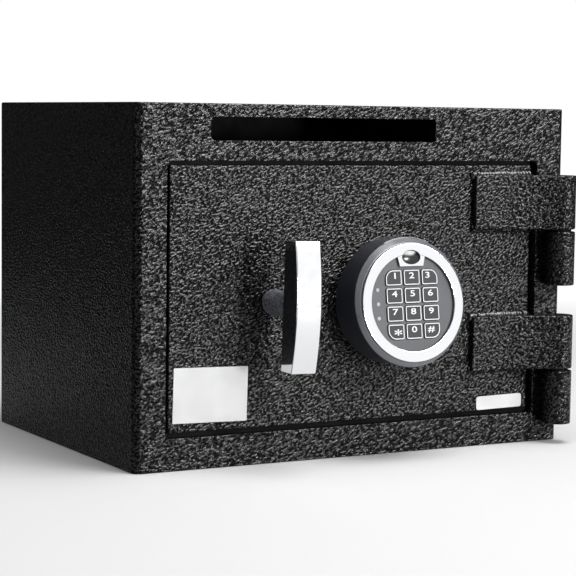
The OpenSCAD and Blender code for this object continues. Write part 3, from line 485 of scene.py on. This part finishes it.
# Milky polycarbonate light guides: small pale dots while the lights are off
LIGHT_LENS = MouldedPlastic("milky_indicator_lens", "#a9abaf", 0.3, grain_mm=0.5, grain_depth_mm=0.004)
# Smoked acrylic, moulded glossy: black with one clear highlight
SENSOR_ACRYLIC = MouldedPlastic("smoked_acrylic_lens", "#0c0c0e", 0.16, grain_mm=2.0, grain_depth_mm=0.004)
# Nylon filled with glass fibre: dark grey and dull
LOCK_NYLON = MouldedPlastic("glass_filled_nylon", "#2a2b2e", 0.5)
# Cured solder mask on a circuit board: deep green with a waxy sheen
SOLDER_MASK = MouldedPlastic("green_solder_mask", "#1f5b3a", 0.35, grain_mm=1.2)
# Metallised shrink sleeve round a battery: blue with a metal sheen
BATTERY_SLEEVE = MouldedPlastic("printed_battery_sleeve", "#30405e", 0.3, metallic=0.6, grain_mm=1.5)
# Nickel and chrome plating, buffed: it mirrors the bright wall as plain white
CHROME = ChromePlate("polished_chrome_plate", "#e9eaec", 0.05, metallic=1.0)
# The keypad ring's plating: a white face between two grey lines of painted shade on its rounded edges
RING_CHROME = EdgedChrome("chrome_plate_with_painted_edge_shade", "#e9eaec", 0.07, metallic=1.0)
# Zinc plated in a barrel: silver grey, satin and slightly mottled
ZINC = ZincPlate("zinc_plated_steel", "#8f9396", 0.36, metallic=1.0)
# Brass as it comes off the lathe: yellow, with a streaked shine
BRASS = TurnedBrass("turned_brass", "#c9a45a", 0.28, metallic=1.0)
# Vinyl label film, rolled on by hand: white, not quite flat
LABEL = LabelFilm("white_label_film", "#dadbda", 0.38)


def merged(node: str, nearer_mm: float = 0.001) -> BMesh:
    """Copies a CAD node's mesh with its doubles merged and its flat triangles joined.

    Args:
        node: the node's name.
        nearer_mm: points nearer than this become one.

    Returns:
        The new mesh.
    """
    mesh = bmesh.new()
    mesh.from_mesh(frame["nodes"][node].data)
    bmesh.ops.remove_doubles(mesh, verts=mesh.verts, dist=nearer_mm * MM)
    bmesh.ops.dissolve_limit(mesh, angle_limit=math.radians(FLAT_DEG), verts=mesh.verts, edges=mesh.edges)
    return mesh


def fold(edge: BMEdge) -> float:
    """The angle between an edge's two faces, in degrees, or 0 where it hasn't two."""
    return math.degrees(edge.calc_face_angle(0.0))


def round_edges(mesh: BMesh, radius_mm: float, chosen: EdgeTest, segments: int = 3) -> None:
    """Rounds the sharp edges that a test picks.

    Args:
        mesh: the mesh to round.
        radius_mm: how far the rounding reaches from the edge.
        chosen: says whether an edge takes part.
        segments: faces across the rounding.
    """
    edges = [e for e in mesh.edges if fold(e) > ROUNDED_DEG and chosen(e)]
    bmesh.ops.bevel(mesh, geom=edges, offset=radius_mm * MM, offset_type="OFFSET", affect="EDGES",
                    segments=segments, profile=0.5, material=-1, clamp_overlap=False)


def cut(mesh: BMesh, point: Vector, normal: Vector, keep_ahead: bool) -> None:
    """Cuts a closed mesh along a plane, keeps one part and closes it.

    Args:
        mesh: the mesh to cut.
        point: a point of the plane.
        normal: the plane's normal.
        keep_ahead: keeps the part that the normal points to, or else the other one.
    """
    bmesh.ops.bisect_plane(mesh, geom=[*mesh.verts, *mesh.edges, *mesh.faces], dist=0.001 * MM,
                           plane_co=point, plane_no=normal, clear_inner=keep_ahead,
                           clear_outer=not keep_ahead)
    bmesh.ops.holes_fill(mesh, edges=mesh.edges, sides=0)
    bmesh.ops.recalc_face_normals(mesh, faces=mesh.faces)


def corners_of(shape: BMesh | BMFace) -> tuple[Vector, Vector]:
    """The lowest and the highest corner of the box round a mesh or a face."""
    places = [v.co for v in shape.verts]
    return Vector(map(min, zip(*places))), Vector(map(max, zip(*places)))


def on_planes(axis: int, *places: float) -> EdgeTest:
    """Makes a test for edges in planes square to axis 0, 1 or 2, at some places in metres."""
    return lambda edge: any(all(abs(v.co[axis] - place) < NEAR for v in edge.verts) for place in places)


def anywhere(edge: BMEdge) -> bool:
    """Picks every edge."""
    return True


def put(name: str, data: ID) -> Object:
    """Makes an object and puts it in the scene.

    Args:
        name: its name.
        data: its mesh, text, light or camera.

    Returns:
        The new object.
    """
    made = bpy.data.objects.new(name, data)
    bpy.context.scene.collection.objects.link(made)
    return made


def piece(name: str, mesh: BMesh, body: Body | str, finish: Finish,
          stands_for: Iterable[str] = ()) -> None:
    """Makes a finished piece of the object out of a mesh.

    Args:
        name: the piece's name.
        mesh: the shape, in its place in the frame. It is freed.
        body: the body that the piece rides on.
        finish: the piece's finish.
        stands_for: the CAD nodes that the piece replaces.
    """
    data = bpy.data.meshes.new(name)
    mesh.to_mesh(data)
    mesh.free()
    data.shade_smooth()
    data.set_sharp_from_angle(angle=math.radians(SHARP_DEG))
    data.materials.append(finish.material())
    made = put(name, data)
    made.modifiers.new("flat_faces_stay_flat", "WEIGHTED_NORMAL").keep_sharp = True
    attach(made, body.value if isinstance(body, Body) else body)
    if stands_for:
        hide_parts(*stands_for)


def dress(node: str, body: Body | str, finish: Finish, radius_mm: float = 0.0,
          chosen: EdgeTest = anywhere) -> None:
    """Stands a smooth copy of a CAD node, with rounded edges, in its place.

    Args:
        node: the node's name.
        body: the body that it belongs to.
        finish: its finish.
        radius_mm: rounding of its edges, or 0 for none.
        chosen: says which sharp edges are rounded.
    """
    mesh = merged(node)
    if radius_mm:
        round_edges(mesh, radius_mm, chosen)
    LOG.info("%s is dressed in %s", node, finish.title)
    piece(node + "_dressed", mesh, body, finish, [node])


def dress_in_two(node: str, body: Body, mesh: BMesh, point: Vector, normal: Vector,
                 behind: tuple[str, Finish], ahead: tuple[str, Finish]) -> None:
    """Stands two pieces of different finish in the place of one CAD node.

    Args:
        node: the node's name.
        body: the body that it belongs to.
        mesh: the node's whole shape. It is freed.
        point: a point of the plane between the pieces.
        normal: the plane's normal.
        behind: name and finish of the piece behind the plane.
        ahead: name and finish of the piece that the normal points to.
    """
    for (name, finish), is_ahead in ((behind, False), (ahead, True)):
        part = mesh.copy()
        cut(part, point, normal, is_ahead)
        piece(name, part, body, finish, [node])
        LOG.info("%s is cut from %s", name, node)
    mesh.free()


@dataclass(frozen=True)
class WeldBead:
    """A weld bead along a seam, in ripples of uneven width that wander a little. Its ends taper."""

    name: str
    corners: tuple[Vector, ...]
    finish: Finish
    radius_mm: float
    growth: float
    seed: int
    step_mm: float = 0.5
    corner_passes: int = 6
    sides: int = 12
    ripple_steps: int = 5
    ripple_depth: float = 0.16
    swells: tuple[float, float] = (0.85, 1.15)
    drift_mm: float = 0.2
    end_width: float = 0.35
    taper_per_step: float = 0.25

    def line(self) -> list[Vector]:
        """Walks along the seam in even steps and rounds its corners.

        Returns:
            The points of the walk.
        """
        points = [self.corners[0].copy()]
        for start, end in zip(self.corners, self.corners[1:]):
            count = max(1, round((end - start).length / (self.step_mm * MM)))
            points += [start.lerp(end, (i + 1) / count) for i in range(count)]
        for _ in range(self.corner_passes):
            inner = [(a + 2 * b + c) / 4 for a, b, c in zip(points, points[1:], points[2:])]
            points = [points[0], *inner, points[-1]]
        return points

    def width(self, step: int, count: int) -> float:
        """How wide the bead is at a step, before its ripple's own swell.

        Args:
            step: the step, from 0.
            count: how many steps there are.

        Returns:
            The width, as a share of the bead's.
        """
        from_end = min(step, count - 1 - step)
        taper = min(1.0, self.end_width + self.taper_per_step * from_end)
        crest = abs(math.sin(math.pi * step / self.ripple_steps))
        return taper * (1 + self.growth * step / count) * (1 - self.ripple_depth * (1 - crest))

    def lay(self, body: Body) -> None:
        """Draws a ring of points along the seam and makes a piece of it.

        Args:
            body: the body that the bead rides on.
        """
        points = self.line()
        draws = random.Random(self.seed)
        mesh = bmesh.new()
        ring = bmesh.ops.create_circle(mesh, radius=self.radius_mm * MM, segments=self.sides)["verts"]
        bmesh.ops.translate(mesh, verts=ring, vec=points[0])
        edges = list(mesh.edges)
        way, centre, size = Vector((0, 0, 1)), points[0], 1.0
        for step, point in enumerate(points):
            if step:
                made = bmesh.ops.extrude_edge_only(mesh, edges=edges)["geom"]
                ring = [g for g in made if isinstance(g, BMVert)]
                edges = [g for g in made if isinstance(g, BMEdge)]
            if step % self.ripple_steps == 0:
                swell = draws.uniform(*self.swells)
                drift = Vector([draws.uniform(-self.drift_mm, self.drift_mm) * MM for _ in range(3)])
            wanted = swell * self.width(step, len(points))
            ahead = points[min(step + 1, len(points) - 1)] - points[max(step - 1, 0)]
            place = point + drift
            bmesh.ops.translate(mesh, verts=ring, vec=place - centre)
            bmesh.ops.rotate(mesh, verts=ring, cent=place, matrix=way.rotation_difference(ahead).to_matrix())
            bmesh.ops.scale(mesh, verts=ring, vec=(wanted / size,) * 3, space=Matrix.Translation(-place))
            way, centre, size = ahead, place, wanted
        bmesh.ops.holes_fill(mesh, edges=mesh.edges, sides=0)
        bmesh.ops.recalc_face_normals(mesh, faces=mesh.faces)
        LOG.info("%s is laid", self.name)
        piece(self.name, mesh, body, self.finish)


@dataclass
class Cabinet:
    """The welded cabinet with its chute and its half of the hinges."""

    sheet_edge_mm: float = 0.45
    top_edge_mm: float = 1.0
    floor_edge_mm: float = 0.5
    knuckle_edge_mm: float = 0.8
    body: Body = Body.CABINET

    def build(self) -> None:
        """Builds the cabinet's panels, chute, stops and hinge halves."""
        self.panels()
        self.inside()
        self.hinges()

    def panels(self) -> None:
        """Rounds the edges of the sheet that show from outside."""
        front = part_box("front_shell")[0].y
        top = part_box("top_panel")[1].z
        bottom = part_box("floor_panel")[0].z
        dress("front_shell", self.body, COAT, self.sheet_edge_mm, on_planes(1, front))
        dress("top_panel", self.body, COAT, self.top_edge_mm, on_planes(2, top))
        dress("floor_panel", self.body, COAT, self.floor_edge_mm, on_planes(2, bottom))
        dress("rear_panel", self.body, COAT)

    def inside(self) -> None:
        """Finishes the chute, the anti-fish plate and the stops."""
        dress("chute_tray", self.body, COAT)
        # The stops and the anti-fish plate are near black: painted shade inside the slot and the cabinet
        for node in ("upper_door_stop", "lower_door_stop", "anti_fish_plate"):
            dress(node, self.body, SLOT_SHADE_STEEL)

    def hinges(self) -> None:
        """Rounds the hinge barrels and finishes the pins and washers."""
        for side in Side:
            node = side.value + "_body_knuckle"
            low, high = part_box(node)
            dress(node, self.body, COAT, self.knuckle_edge_mm, on_planes(2, low.z, high.z))
        dress("hinge_pins", self.body, ZINC)
        dress("hinge_washers", self.body, SLOT_SHADE_STEEL)


@dataclass
class Door:
    """The door plate with its hinge arms, labels and what is mounted on its back."""

    plate_edge_mm: float = 0.9
    outline_mm: float = 3.0
    arm_edge_mm: float = 0.9
    arm_weld_mm: float = 2.4
    arm_end_mm: float = 3.0
    head_bead_mm: float = 1.9
    head_growth: float = 0.5
    foot_bead_mm: float = 1.5
    bead_out_mm: float = 0.75
    bead_turn_mm: float = 4.0
    bead_left_mm: float = 0.5
    bead_right_mm: float = 1.5
    seeds_per_arm: int = 10
    cover_edge_mm: float = 0.8
    body: Body = Body.DOOR

    def build(self) -> None:
        """Builds everything that hangs on the hinges, except the keypad and the moving pieces."""
        low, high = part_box("door_plate")
        faces = on_planes(1, low.y, high.y)
        dress("door_plate", self.body, COAT, self.plate_edge_mm,
              lambda edge: faces(edge) and self.on_outline(edge, low, high))
        for number, side in enumerate(Side):
            self.arm(side, number * self.seeds_per_arm)
        self.labels()
        self.back()

    def on_outline(self, edge: BMEdge, low: Vector, high: Vector) -> bool:
        """Says whether an edge is near the outline of the door, which reaches from low to high."""
        return all(min(v.co.x - low.x, high.x - v.co.x, v.co.z - low.z, high.z - v.co.z)
                   < self.outline_mm * MM for v in edge.verts)

    def arm(self, side: Side, seed: int) -> None:
        """Dresses one hinge arm and lays the welds that hold it on the door.

        Args:
            side: which of the two arms.
            seed: start of the foot weld's random draws. The head weld's is the next one.
        """
        node = side.value + "_hinge_arm"
        low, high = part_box(node)
        plate_low, plate_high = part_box("door_plate")
        foot, head = low.z + self.arm_weld_mm * MM, high.z - self.arm_weld_mm * MM
        level = on_planes(2, foot, head)
        upright = on_planes(0, low.x)
        dress(node, self.body, COAT, self.arm_edge_mm,
              lambda edge: level(edge) or (upright(edge) and self.off_plate(edge, plate_low.y)))
        out = self.bead_out_mm * MM
        left, right = low.x - self.bead_left_mm * MM, plate_high.x - self.bead_right_mm * MM
        front = plate_low.y - out
        # The head weld takes the lighter coat as a painted highlight; the foot weld keeps the plain coat
        for place, z, turned, finish, radius, growth, draws in (
                ("head", head + out, -1, HEAD_WELD_LIT_COAT, self.head_bead_mm, self.head_growth, seed + 1),
                ("foot", foot - out, 1, COAT, self.foot_bead_mm, 0.0, seed)):
            corners = (Vector((left, front, z + turned * self.bead_turn_mm * MM)), Vector((left, front, z)),
                       Vector((right, front, z)))
            bead = WeldBead(f"{side.value}_arm_{place}_weld", corners, finish, radius, growth, draws)
            bead.lay(self.body)

    def off_plate(self, edge: BMEdge, plate_y: float) -> bool:
        """Says whether an edge stands clear of the door plate's front, at plate_y."""
        return all(v.co.y < plate_y - self.arm_end_mm * MM for v in edge.verts)

    def labels(self) -> None:
        """Finishes the two labels, which stay bare."""
        for node in ("door_label", "serial_label"):
            dress(node, self.body, LABEL)

    def back(self) -> None:
        """Finishes the pieces on the door's back."""
        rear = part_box("door_back_cover")[1].y
        dress("door_back_cover", self.body, COAT, self.cover_edge_mm, on_planes(1, rear))
        for node in ("dead_bar", "bolt_guide"):
            dress(node, self.body, COAT)
        for node in ("cover_posts", "back_cover_screws", "lock_motor", "lock_screws"):
            dress(node, self.body, ZINC)
        for node in ("lock_case", "lock_case_lid"):
            dress(node, self.body, LOCK_NYLON)
        dress("spindle_bush", self.body, BRASS)


@dataclass
class Keypad:
    """The round keypad on the door: housing, ring, panel, lens, lights and twelve marked keys."""

    merge_mm: float = 0.05
    rim_edge_mm: float = 0.5
    rim_segments: int = 4
    rim_reach_mm: float = 7.0
    rim_deep_mm: float = 3.9
    rim_least_mm: float = 42.3
    lens_sides: int = 64
    dome_mm: float = 1.0
    cap_share: float = 0.6
    battery_edge_mm: float = 0.8
    key_edge_mm: float = 0.3
    border_in_mm: float = 0.35
    border_w_mm: float = 0.62
    border_h_mm: float = 0.08
    digit_h_mm: float = 4.2
    digit_rise_mm: float = 1.4
    other_sign_h_mm: float = 4.4
    sign_stretch: float = 1.6
    sign_deep_mm: float = 0.16
    # The next three are shares of the font's size, which is 1 until the sign is scaled
    sign_weight: float = 0.008
    sign_half_deep: float = 0.5
    sign_merge: float = 0.00001
    body: Body = Body.DOOR
    out: Vector = field(init=False)
    up: Vector = field(init=False)

    def __post_init__(self) -> None:
        """Finds the tilted face's own directions from the keys' travel."""
        press = next(j for j in frame["joints"] if j["name"] == "press_5")
        self.out = -Vector(press["axis"]).normalized()
        self.up = self.out.cross(RIGHT).normalized()

    def face(self, place: Vector) -> Matrix:
        """The turn and move that lay a flat shape on the face, with its origin at a place in metres."""
        turn = Matrix((RIGHT, self.up, self.out)).transposed()
        return Matrix.Translation(place) @ turn.to_4x4()

    def build(self) -> None:
        """Builds the whole keypad."""
        self.casing()
        self.inside()
        for mark in Mark:
            self.key(mark)

    def casing(self) -> None:
        """Dresses the housing, whose rim gets a lighter copy of its finish as painted light, with the ring,
        panel, lights and lens.
        """
        housing = merged("keypad_housing", self.merge_mm)
        front = max(v.co.dot(self.out) for v in housing.verts)
        round_edges(housing, self.rim_edge_mm, self.on_rim(front), self.rim_segments)
        # The rim is cut from the side and made grey: painted light
        dress_in_two("keypad_housing", self.body, housing, (front - self.rim_deep_mm * MM) * self.out,
                     self.out, ("keypad_side", HOUSING_ABS), ("keypad_rim", RIM_LIT_ABS))
        dress("keypad_ring", self.body, RING_CHROME)
        dress("keypad_panel", self.body, PANEL_FILM)
        dress("keypad_lights", self.body, LIGHT_LENS)
        self.lens()

    def on_rim(self, front: float) -> EdgeTest:
        """Makes a test for the edges of the housing's bevelled rim.

        Args:
            front: how far out the housing reaches, in metres.

        Returns:
            The test.
        """
        low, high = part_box("keypad_ring")
        middle = (low + high) / 2
        return lambda edge: all(v.co.dot(self.out) > front - self.rim_reach_mm * MM
                                and math.hypot(v.co.x - middle.x, (v.co - middle).dot(self.up))
                                > self.rim_least_mm * MM for v in edge.verts)

    def lens(self) -> None:
        """Domes the oval lens over its opening, as the cap of a stretched ball."""
        low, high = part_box("keypad_lens")
        points = [v.co for v in frame["nodes"]["keypad_lens"].data.vertices]
        front = max(p.dot(self.out) for p in points)
        rises = [p.dot(self.up) for p in points]
        wide, tall = (high.x - low.x) / 2, (max(rises) - min(rises)) / 2
        middle = RIGHT * (low.x + high.x) / 2 + self.up * (max(rises) + min(rises)) / 2
        cap_z = math.cos(math.asin(self.cap_share))
        mesh = bmesh.new()
        bmesh.ops.create_uvsphere(mesh, u_segments=self.lens_sides, v_segments=self.lens_sides // 2,
                                  radius=1.0)
        cut(mesh, Vector((0, 0, cap_z)), Vector((0, 0, 1)), keep_ahead=True)
        bmesh.ops.translate(mesh, verts=mesh.verts, vec=(0, 0, -cap_z))
        bmesh.ops.scale(mesh, verts=mesh.verts, vec=(wide / self.cap_share, tall / self.cap_share,
                                                     self.dome_mm * MM / (1 - cap_z)))
        bmesh.ops.transform(mesh, verts=mesh.verts,
                            matrix=self.face(middle + (front - self.dome_mm * MM) * self.out))
        piece("keypad_lens_dome", mesh, self.body, SENSOR_ACRYLIC, ["keypad_lens"])
        LOG.info("keypad_lens is domed")

    def inside(self) -> None:
        """Finishes the base, its screws, the board, the battery and the cable."""
        for node in ("keypad_base", "keypad_cable"):
            dress(node, self.body, HOUSING_ABS)
        dress("keypad_screws", self.body, ZINC)
        dress("keypad_board", self.body, SOLDER_MASK)
        dress("keypad_battery", self.body, BATTERY_SLEEVE, self.battery_edge_mm)

    def top_face(self, mesh: BMesh) -> BMFace:
        """The face of a key that a finger presses."""
        return max(mesh.faces, key=lambda f: f.calc_center_median().dot(self.out) / MM + f.calc_area())

    def key(self, mark: Mark) -> None:
        """Builds one key with its border and its sign.

        Args:
            mark: the key.
        """
        rides = mark.node + "_body"
        shape = merged(mark.node)
        top = self.top_face(shape)
        height = top.calc_center_median().dot(self.out)
        low, high = corners_of(top)
        shape.free()
        dress(mark.node, rides, KEY_RUBBER, self.key_edge_mm,
              lambda edge: all(abs(v.co.dot(self.out) - height) < NEAR for v in edge.verts))
        self.border(mark.node, rides)
        self.sign(mark, rides, (low + high) / 2)
        LOG.info("%s is marked", mark.node)

    def border(self, node: str, rides: str) -> None:
        """Raises the light border round a key's top.

        Args:
            node: the key's node.
            rides: the body that it rides on.
        """
        mesh = merged(node)
        top = self.top_face(mesh)
        bmesh.ops.delete(mesh, geom=[f for f in mesh.faces if f != top], context="FACES")
        for width in (self.border_in_mm, self.border_w_mm):
            ring = bmesh.ops.inset_region(mesh, faces=[top], thickness=width * MM, use_even_offset=True,
                                          use_boundary=True)["faces"]
        bmesh.ops.delete(mesh, geom=[f for f in mesh.faces if f not in ring], context="FACES")
        raised = bmesh.ops.extrude_face_region(mesh, geom=list(mesh.faces), use_keep_orig=True)["geom"]
        bmesh.ops.translate(mesh, verts=[g for g in raised if isinstance(g, BMVert)],
                            vec=self.border_h_mm * MM * self.out)
        bmesh.ops.recalc_face_normals(mesh, faces=mesh.faces)
        piece(node + "_border", mesh, rides, KEY_BORDER)

    def sign(self, mark: Mark, rides: str, middle: Vector) -> None:
        """Prints a key's sign on its top. Digits stand above the top's middle.

        Args:
            mark: the key.
            rides: the body that it rides on.
            middle: the middle of the key's top, in metres.
        """
        is_digit = mark.sign.isdigit()
        height_mm = self.digit_h_mm if is_digit else self.other_sign_h_mm
        up_mm = mark.up_mm + (self.digit_rise_mm if is_digit else 0.0)
        place = middle + MM * (mark.right_mm * RIGHT + up_mm * self.up)
        curve = bpy.data.curves.new(mark.node, "FONT")
        curve.body = mark.sign
        curve.bevel_depth = self.sign_weight
        curve.bevel_resolution = 0
        curve.extrude = self.sign_half_deep
        holder = put(mark.node, curve)
        text = bpy.data.meshes.new_from_object(holder.evaluated_get(bpy.context.evaluated_depsgraph_get()))
        mesh = bmesh.new()
        mesh.from_mesh(text)
        bpy.data.objects.remove(holder)
        bpy.data.curves.remove(curve)
        bpy.data.meshes.remove(text)
        bmesh.ops.remove_doubles(mesh, verts=mesh.verts, dist=self.sign_merge)
        low, high = corners_of(mesh)
        scale = height_mm * MM / (high.y - low.y)
        bmesh.ops.translate(mesh, verts=mesh.verts, vec=-(low + high) / 2)
        bmesh.ops.scale(mesh, verts=mesh.verts,
                        vec=(scale * self.sign_stretch, scale, self.sign_deep_mm * MM))
        bmesh.ops.transform(mesh, verts=mesh.verts, matrix=self.face(place))
        piece(mark.node + "_sign", mesh, rides, KEY_PRINT)


@dataclass
class Handle:
    """The bar handle with its chrome strip, and the spindle and cam that it turns."""

    strip_edge_mm: float = 0.7
    strip_front_mm: float = 6.0
    strip_end_mm: float = 1.5
    stem_gap_mm: float = 0.05
    body: Body = Body.HANDLE

    def build(self) -> None:
        """Builds the handle."""
        dress("handle_cover", self.body, CHROME, self.strip_edge_mm, self.on_outside)
        stem_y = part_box("handle_cover")[1].y + self.stem_gap_mm * MM
        # The stem behind the strip gets a lighter copy of the grip's coat: painted light
        dress_in_two("handle_core", self.body, merged("handle_core"), Vector((0, stem_y, 0)),
                     Vector((0, 1, 0)), ("handle_grip", CORE_COAT), ("handle_stem", STEM_LIT_COAT))
        for node in ("handle_spindle", "cam_disc", "cam_pin", "retaining_ring"):
            dress(node, self.body, ZINC)

    def on_outside(self, edge: BMEdge) -> bool:
        """Says whether an edge is an outer one of the strip, away from the core.

        Args:
            edge: the edge.

        Returns:
            True on the outside.
        """
        low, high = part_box("handle_cover")
        front = low.y + self.strip_front_mm * MM
        return all(v.co.y < front or min(v.co.z - low.z, high.z - v.co.z) < self.strip_end_mm * MM
                   for v in edge.verts)


@dataclass
class Boltwork:
    """The sliding bolts and their carriage, and the bolt of the lock that blocks them."""

    bolt_edge_mm: float = 0.4

    def build(self) -> None:
        """Builds the boltwork and the lock bolt."""
        for node in ("bolt_carriage", "locking_bolts", "follower_pin"):
            dress(node, Body.BOLTWORK, ZINC)
        dress("lock_bolt", Body.LOCK_BOLT, ZINC, self.bolt_edge_mm)


@dataclass(frozen=True)
class Softbox:
    """A rectangular softbox that faces the safe's front."""

    name: str
    place_m: Triple
    wide_m: float
    high_m: float
    watts: float
    aim_m: Triple = (0, -0.12, 0.11)

    def hang(self) -> None:
        """Hangs the softbox in the scene."""
        data = bpy.data.lights.new(self.name, "AREA")
        data.shape = "RECTANGLE"
        data.size = self.wide_m
        data.size_y = self.high_m
        data.energy = self.watts
        turn = (Vector(self.aim_m) - Vector(self.place_m)).to_track_quat("-Z", "Y").to_matrix()
        put(self.name, data).matrix_world = Matrix.Translation(self.place_m) @ turn.to_4x4()


@dataclass(frozen=True)
class Glow:
    """A round bright patch of the room that glossy pieces mirror, turned from the safe's front to the
    right and up. It begins and is full at two cosines of the angle from its middle."""

    right_deg: float
    begins_cos: float
    full_cos: float
    strength: float
    around: float = 0.0
    up_deg: float = 0.0

    def patch(self, tree: NodeTree, way: NodeSocket) -> Node:
        """Adds the patch to the world.

        Args:
            tree: the world's node tree.
            way: the direction that is looked in.

        Returns:
            The node whose value is the patch's brightness.
        """
        right, up = math.radians(self.right_deg), math.radians(self.up_deg)
        middle = (math.sin(right) * math.cos(up), -math.cos(right) * math.cos(up), math.sin(up))
        facing = add(tree, "ShaderNodeVectorMath", {"operation": "DOT_PRODUCT", 1: middle}, {0: way})
        edge = ramp(self.begins_cos, self.full_cos, self.around, self.strength)
        return add(tree, "ShaderNodeMapRange", edge, {"Value": facing})


@dataclass
class Studio:
    """The camera at the photograph's angle, a pale floor and soft light."""

    camera_m: Triple = (-0.7100, -1.2885, 0.2395)
    camera_turn_deg: float = 29.20
    camera_tilt_deg: float = 5.01
    camera_roll_deg: float = 0.77
    lens_mm: float = 119.97
    sensor_mm: float = 36.0
    floor_r_m: float = 1.2
    floor_sides: int = 96
    floor_gap_mm: float = 0.2
    fade_from: float = 0.5
    floor_colour: str = "#e2e2e2"
    flagged_colour: str = "#4c4c50"
    flag_m: tuple[float, float] = (-0.30, -0.12)
    softboxes: tuple[Softbox, ...] = (
        Softbox("small_softbox", (0.44, -1.60, 0.16), 0.20, 0.24, 10.0),
        Softbox("tall_softbox", (0.80, -1.30, 0.95), 0.5, 0.8, 6.0),
        Softbox("overhead_softbox", (0.2, -0.4, 1.6), 0.9, 0.9, 20.0),
    )
    diffuse_strength: float = 0.4
    right_wall: Glow = Glow(31.0, 0.84, 0.95, 1.15, around=0.06)
    left_wall: Glow = Glow(-72.0, 0.81, 0.91, 0.9)
    high_window: Glow = Glow(31.0, 0.895, 0.93, 17.0, up_deg=45.0)

    def build(self) -> None:
        """Builds the studio."""
        self.camera()
        self.floor()
        for softbox in self.softboxes:
            softbox.hang()
        self.world()

    def camera(self) -> None:
        """Places the camera."""
        turn, tilt, roll = map(math.radians, (self.camera_turn_deg, self.camera_tilt_deg,
                                              self.camera_roll_deg))
        ahead = Vector((math.sin(turn) * math.cos(tilt), math.cos(turn) * math.cos(tilt), -math.sin(tilt)))
        right = Vector((math.cos(turn), -math.sin(turn), 0.0))
        above = right.cross(ahead)
        rolled_right = math.cos(roll) * right + math.sin(roll) * above
        rolled_above = math.cos(roll) * above - math.sin(roll) * right
        data = bpy.data.cameras.new("camera")
        data.lens = self.lens_mm
        data.sensor_width = self.sensor_mm
        data.sensor_fit = "HORIZONTAL"
        made = put("camera", data)
        axes = Matrix((rolled_right, rolled_above, -ahead)).transposed()
        made.matrix_world = Matrix.Translation(self.camera_m) @ axes.to_4x4()
        bpy.context.scene.camera = made

    def floor(self) -> None:
        """Lays the pale round floor, which fades into the white behind it."""
        mesh = bmesh.new()
        bmesh.ops.create_circle(mesh, cap_ends=True, radius=self.floor_r_m, segments=self.floor_sides)
        bmesh.ops.translate(mesh, verts=mesh.verts, vec=(0, 0, -self.floor_gap_mm * MM))
        data = bpy.data.meshes.new("floor")
        mesh.to_mesh(data)
        mesh.free()
        data.materials.append(self.paper())
        made = put("floor", data)

    def paper(self) -> Material:
        """Makes the floor's matt paper. A dark flag lies on it at the safe's left, unseen by the camera, and
        keeps the floor's light off that side.

        Returns:
            The material.
        """
        paper = bpy.data.materials.new("matt_white_paper")
        paper.use_nodes = True
        tree = paper.node_tree
        tree.nodes.clear()
        seen = add(tree, "ShaderNodeLightPath").outputs["Is Camera Ray"]
        place = add(tree, "ShaderNodeTexCoord").outputs["Object"]
        across = add(tree, "ShaderNodeSeparateXYZ", links={"Vector": place}).outputs["X"]
        flag_start, flag_end = self.flag_m
        beyond_flag = add(tree, "ShaderNodeMapRange", {"From Min": flag_start, "From Max": flag_end},
                          {"Value": across})
        pale = add(tree, "ShaderNodeMath", {"operation": "MAXIMUM"}, {0: beyond_flag, 1: seen})
        colour = add(tree, "ShaderNodeMix", blend(self.flagged_colour, self.floor_colour), {0: pale})
        matt = add(tree, "ShaderNodeBsdfDiffuse", links={"Color": colour})
        clear = add(tree, "ShaderNodeBsdfTransparent")
        far = add(tree, "ShaderNodeVectorMath", {"operation": "LENGTH"}, {0: place})
        fade = add(tree, "ShaderNodeMapRange", {"From Min": self.fade_from * self.floor_r_m,
                                                "From Max": self.floor_r_m}, {"Value": far})
        faded = add(tree, "ShaderNodeMath", {"operation": "MULTIPLY"}, {0: fade, 1: seen})
        surface = add(tree, "ShaderNodeMixShader", links={0: faded, 1: matt, 2: clear})
        add(tree, "ShaderNodeOutputMaterial", links={"Surface": surface})
        return paper

    def world(self) -> None:
        """Surrounds the studio: white to the camera, with walls and a window that glossy pieces mirror."""
        room = bpy.data.worlds.new("studio")
        bpy.context.scene.world = room
        room.use_nodes = True
        tree = room.node_tree
        tree.nodes.clear()
        way = add(tree, "ShaderNodeTexCoord").outputs["Generated"]
        path = add(tree, "ShaderNodeLightPath")
        glow = self.right_wall.patch(tree, way)
        for other in (self.left_wall, self.high_window):
            glow = add(tree, "ShaderNodeMath", {"operation": "ADD"}, {0: glow, 1: other.patch(tree, way)})
        mirrored = add(tree, "ShaderNodeMix", {"data_type": "FLOAT", 2: self.diffuse_strength},
                       {0: path.outputs["Is Glossy Ray"], 3: glow})
        seen = add(tree, "ShaderNodeMix", {"data_type": "FLOAT", 3: 1.0},
                   {0: path.outputs["Is Camera Ray"], 2: mirrored})
        sky = add(tree, "ShaderNodeBackground", {"Color": (1, 1, 1, 1)}, {"Strength": seen})
        add(tree, "ShaderNodeOutputWorld", links={"Surface": sky})


def main() -> None:
    logging.basicConfig(level=logging.INFO, format="%(name)s: %(message)s")
    bpy.context.scene.view_settings.view_transform = "Standard"
    for assembly in (Studio(), Cabinet(), Door(), Keypad(), Handle(), Boltwork()):
        assembly.build()
        LOG.info("%s is built", type(assembly).__name__)


if __name__ == "__main__":
    main()
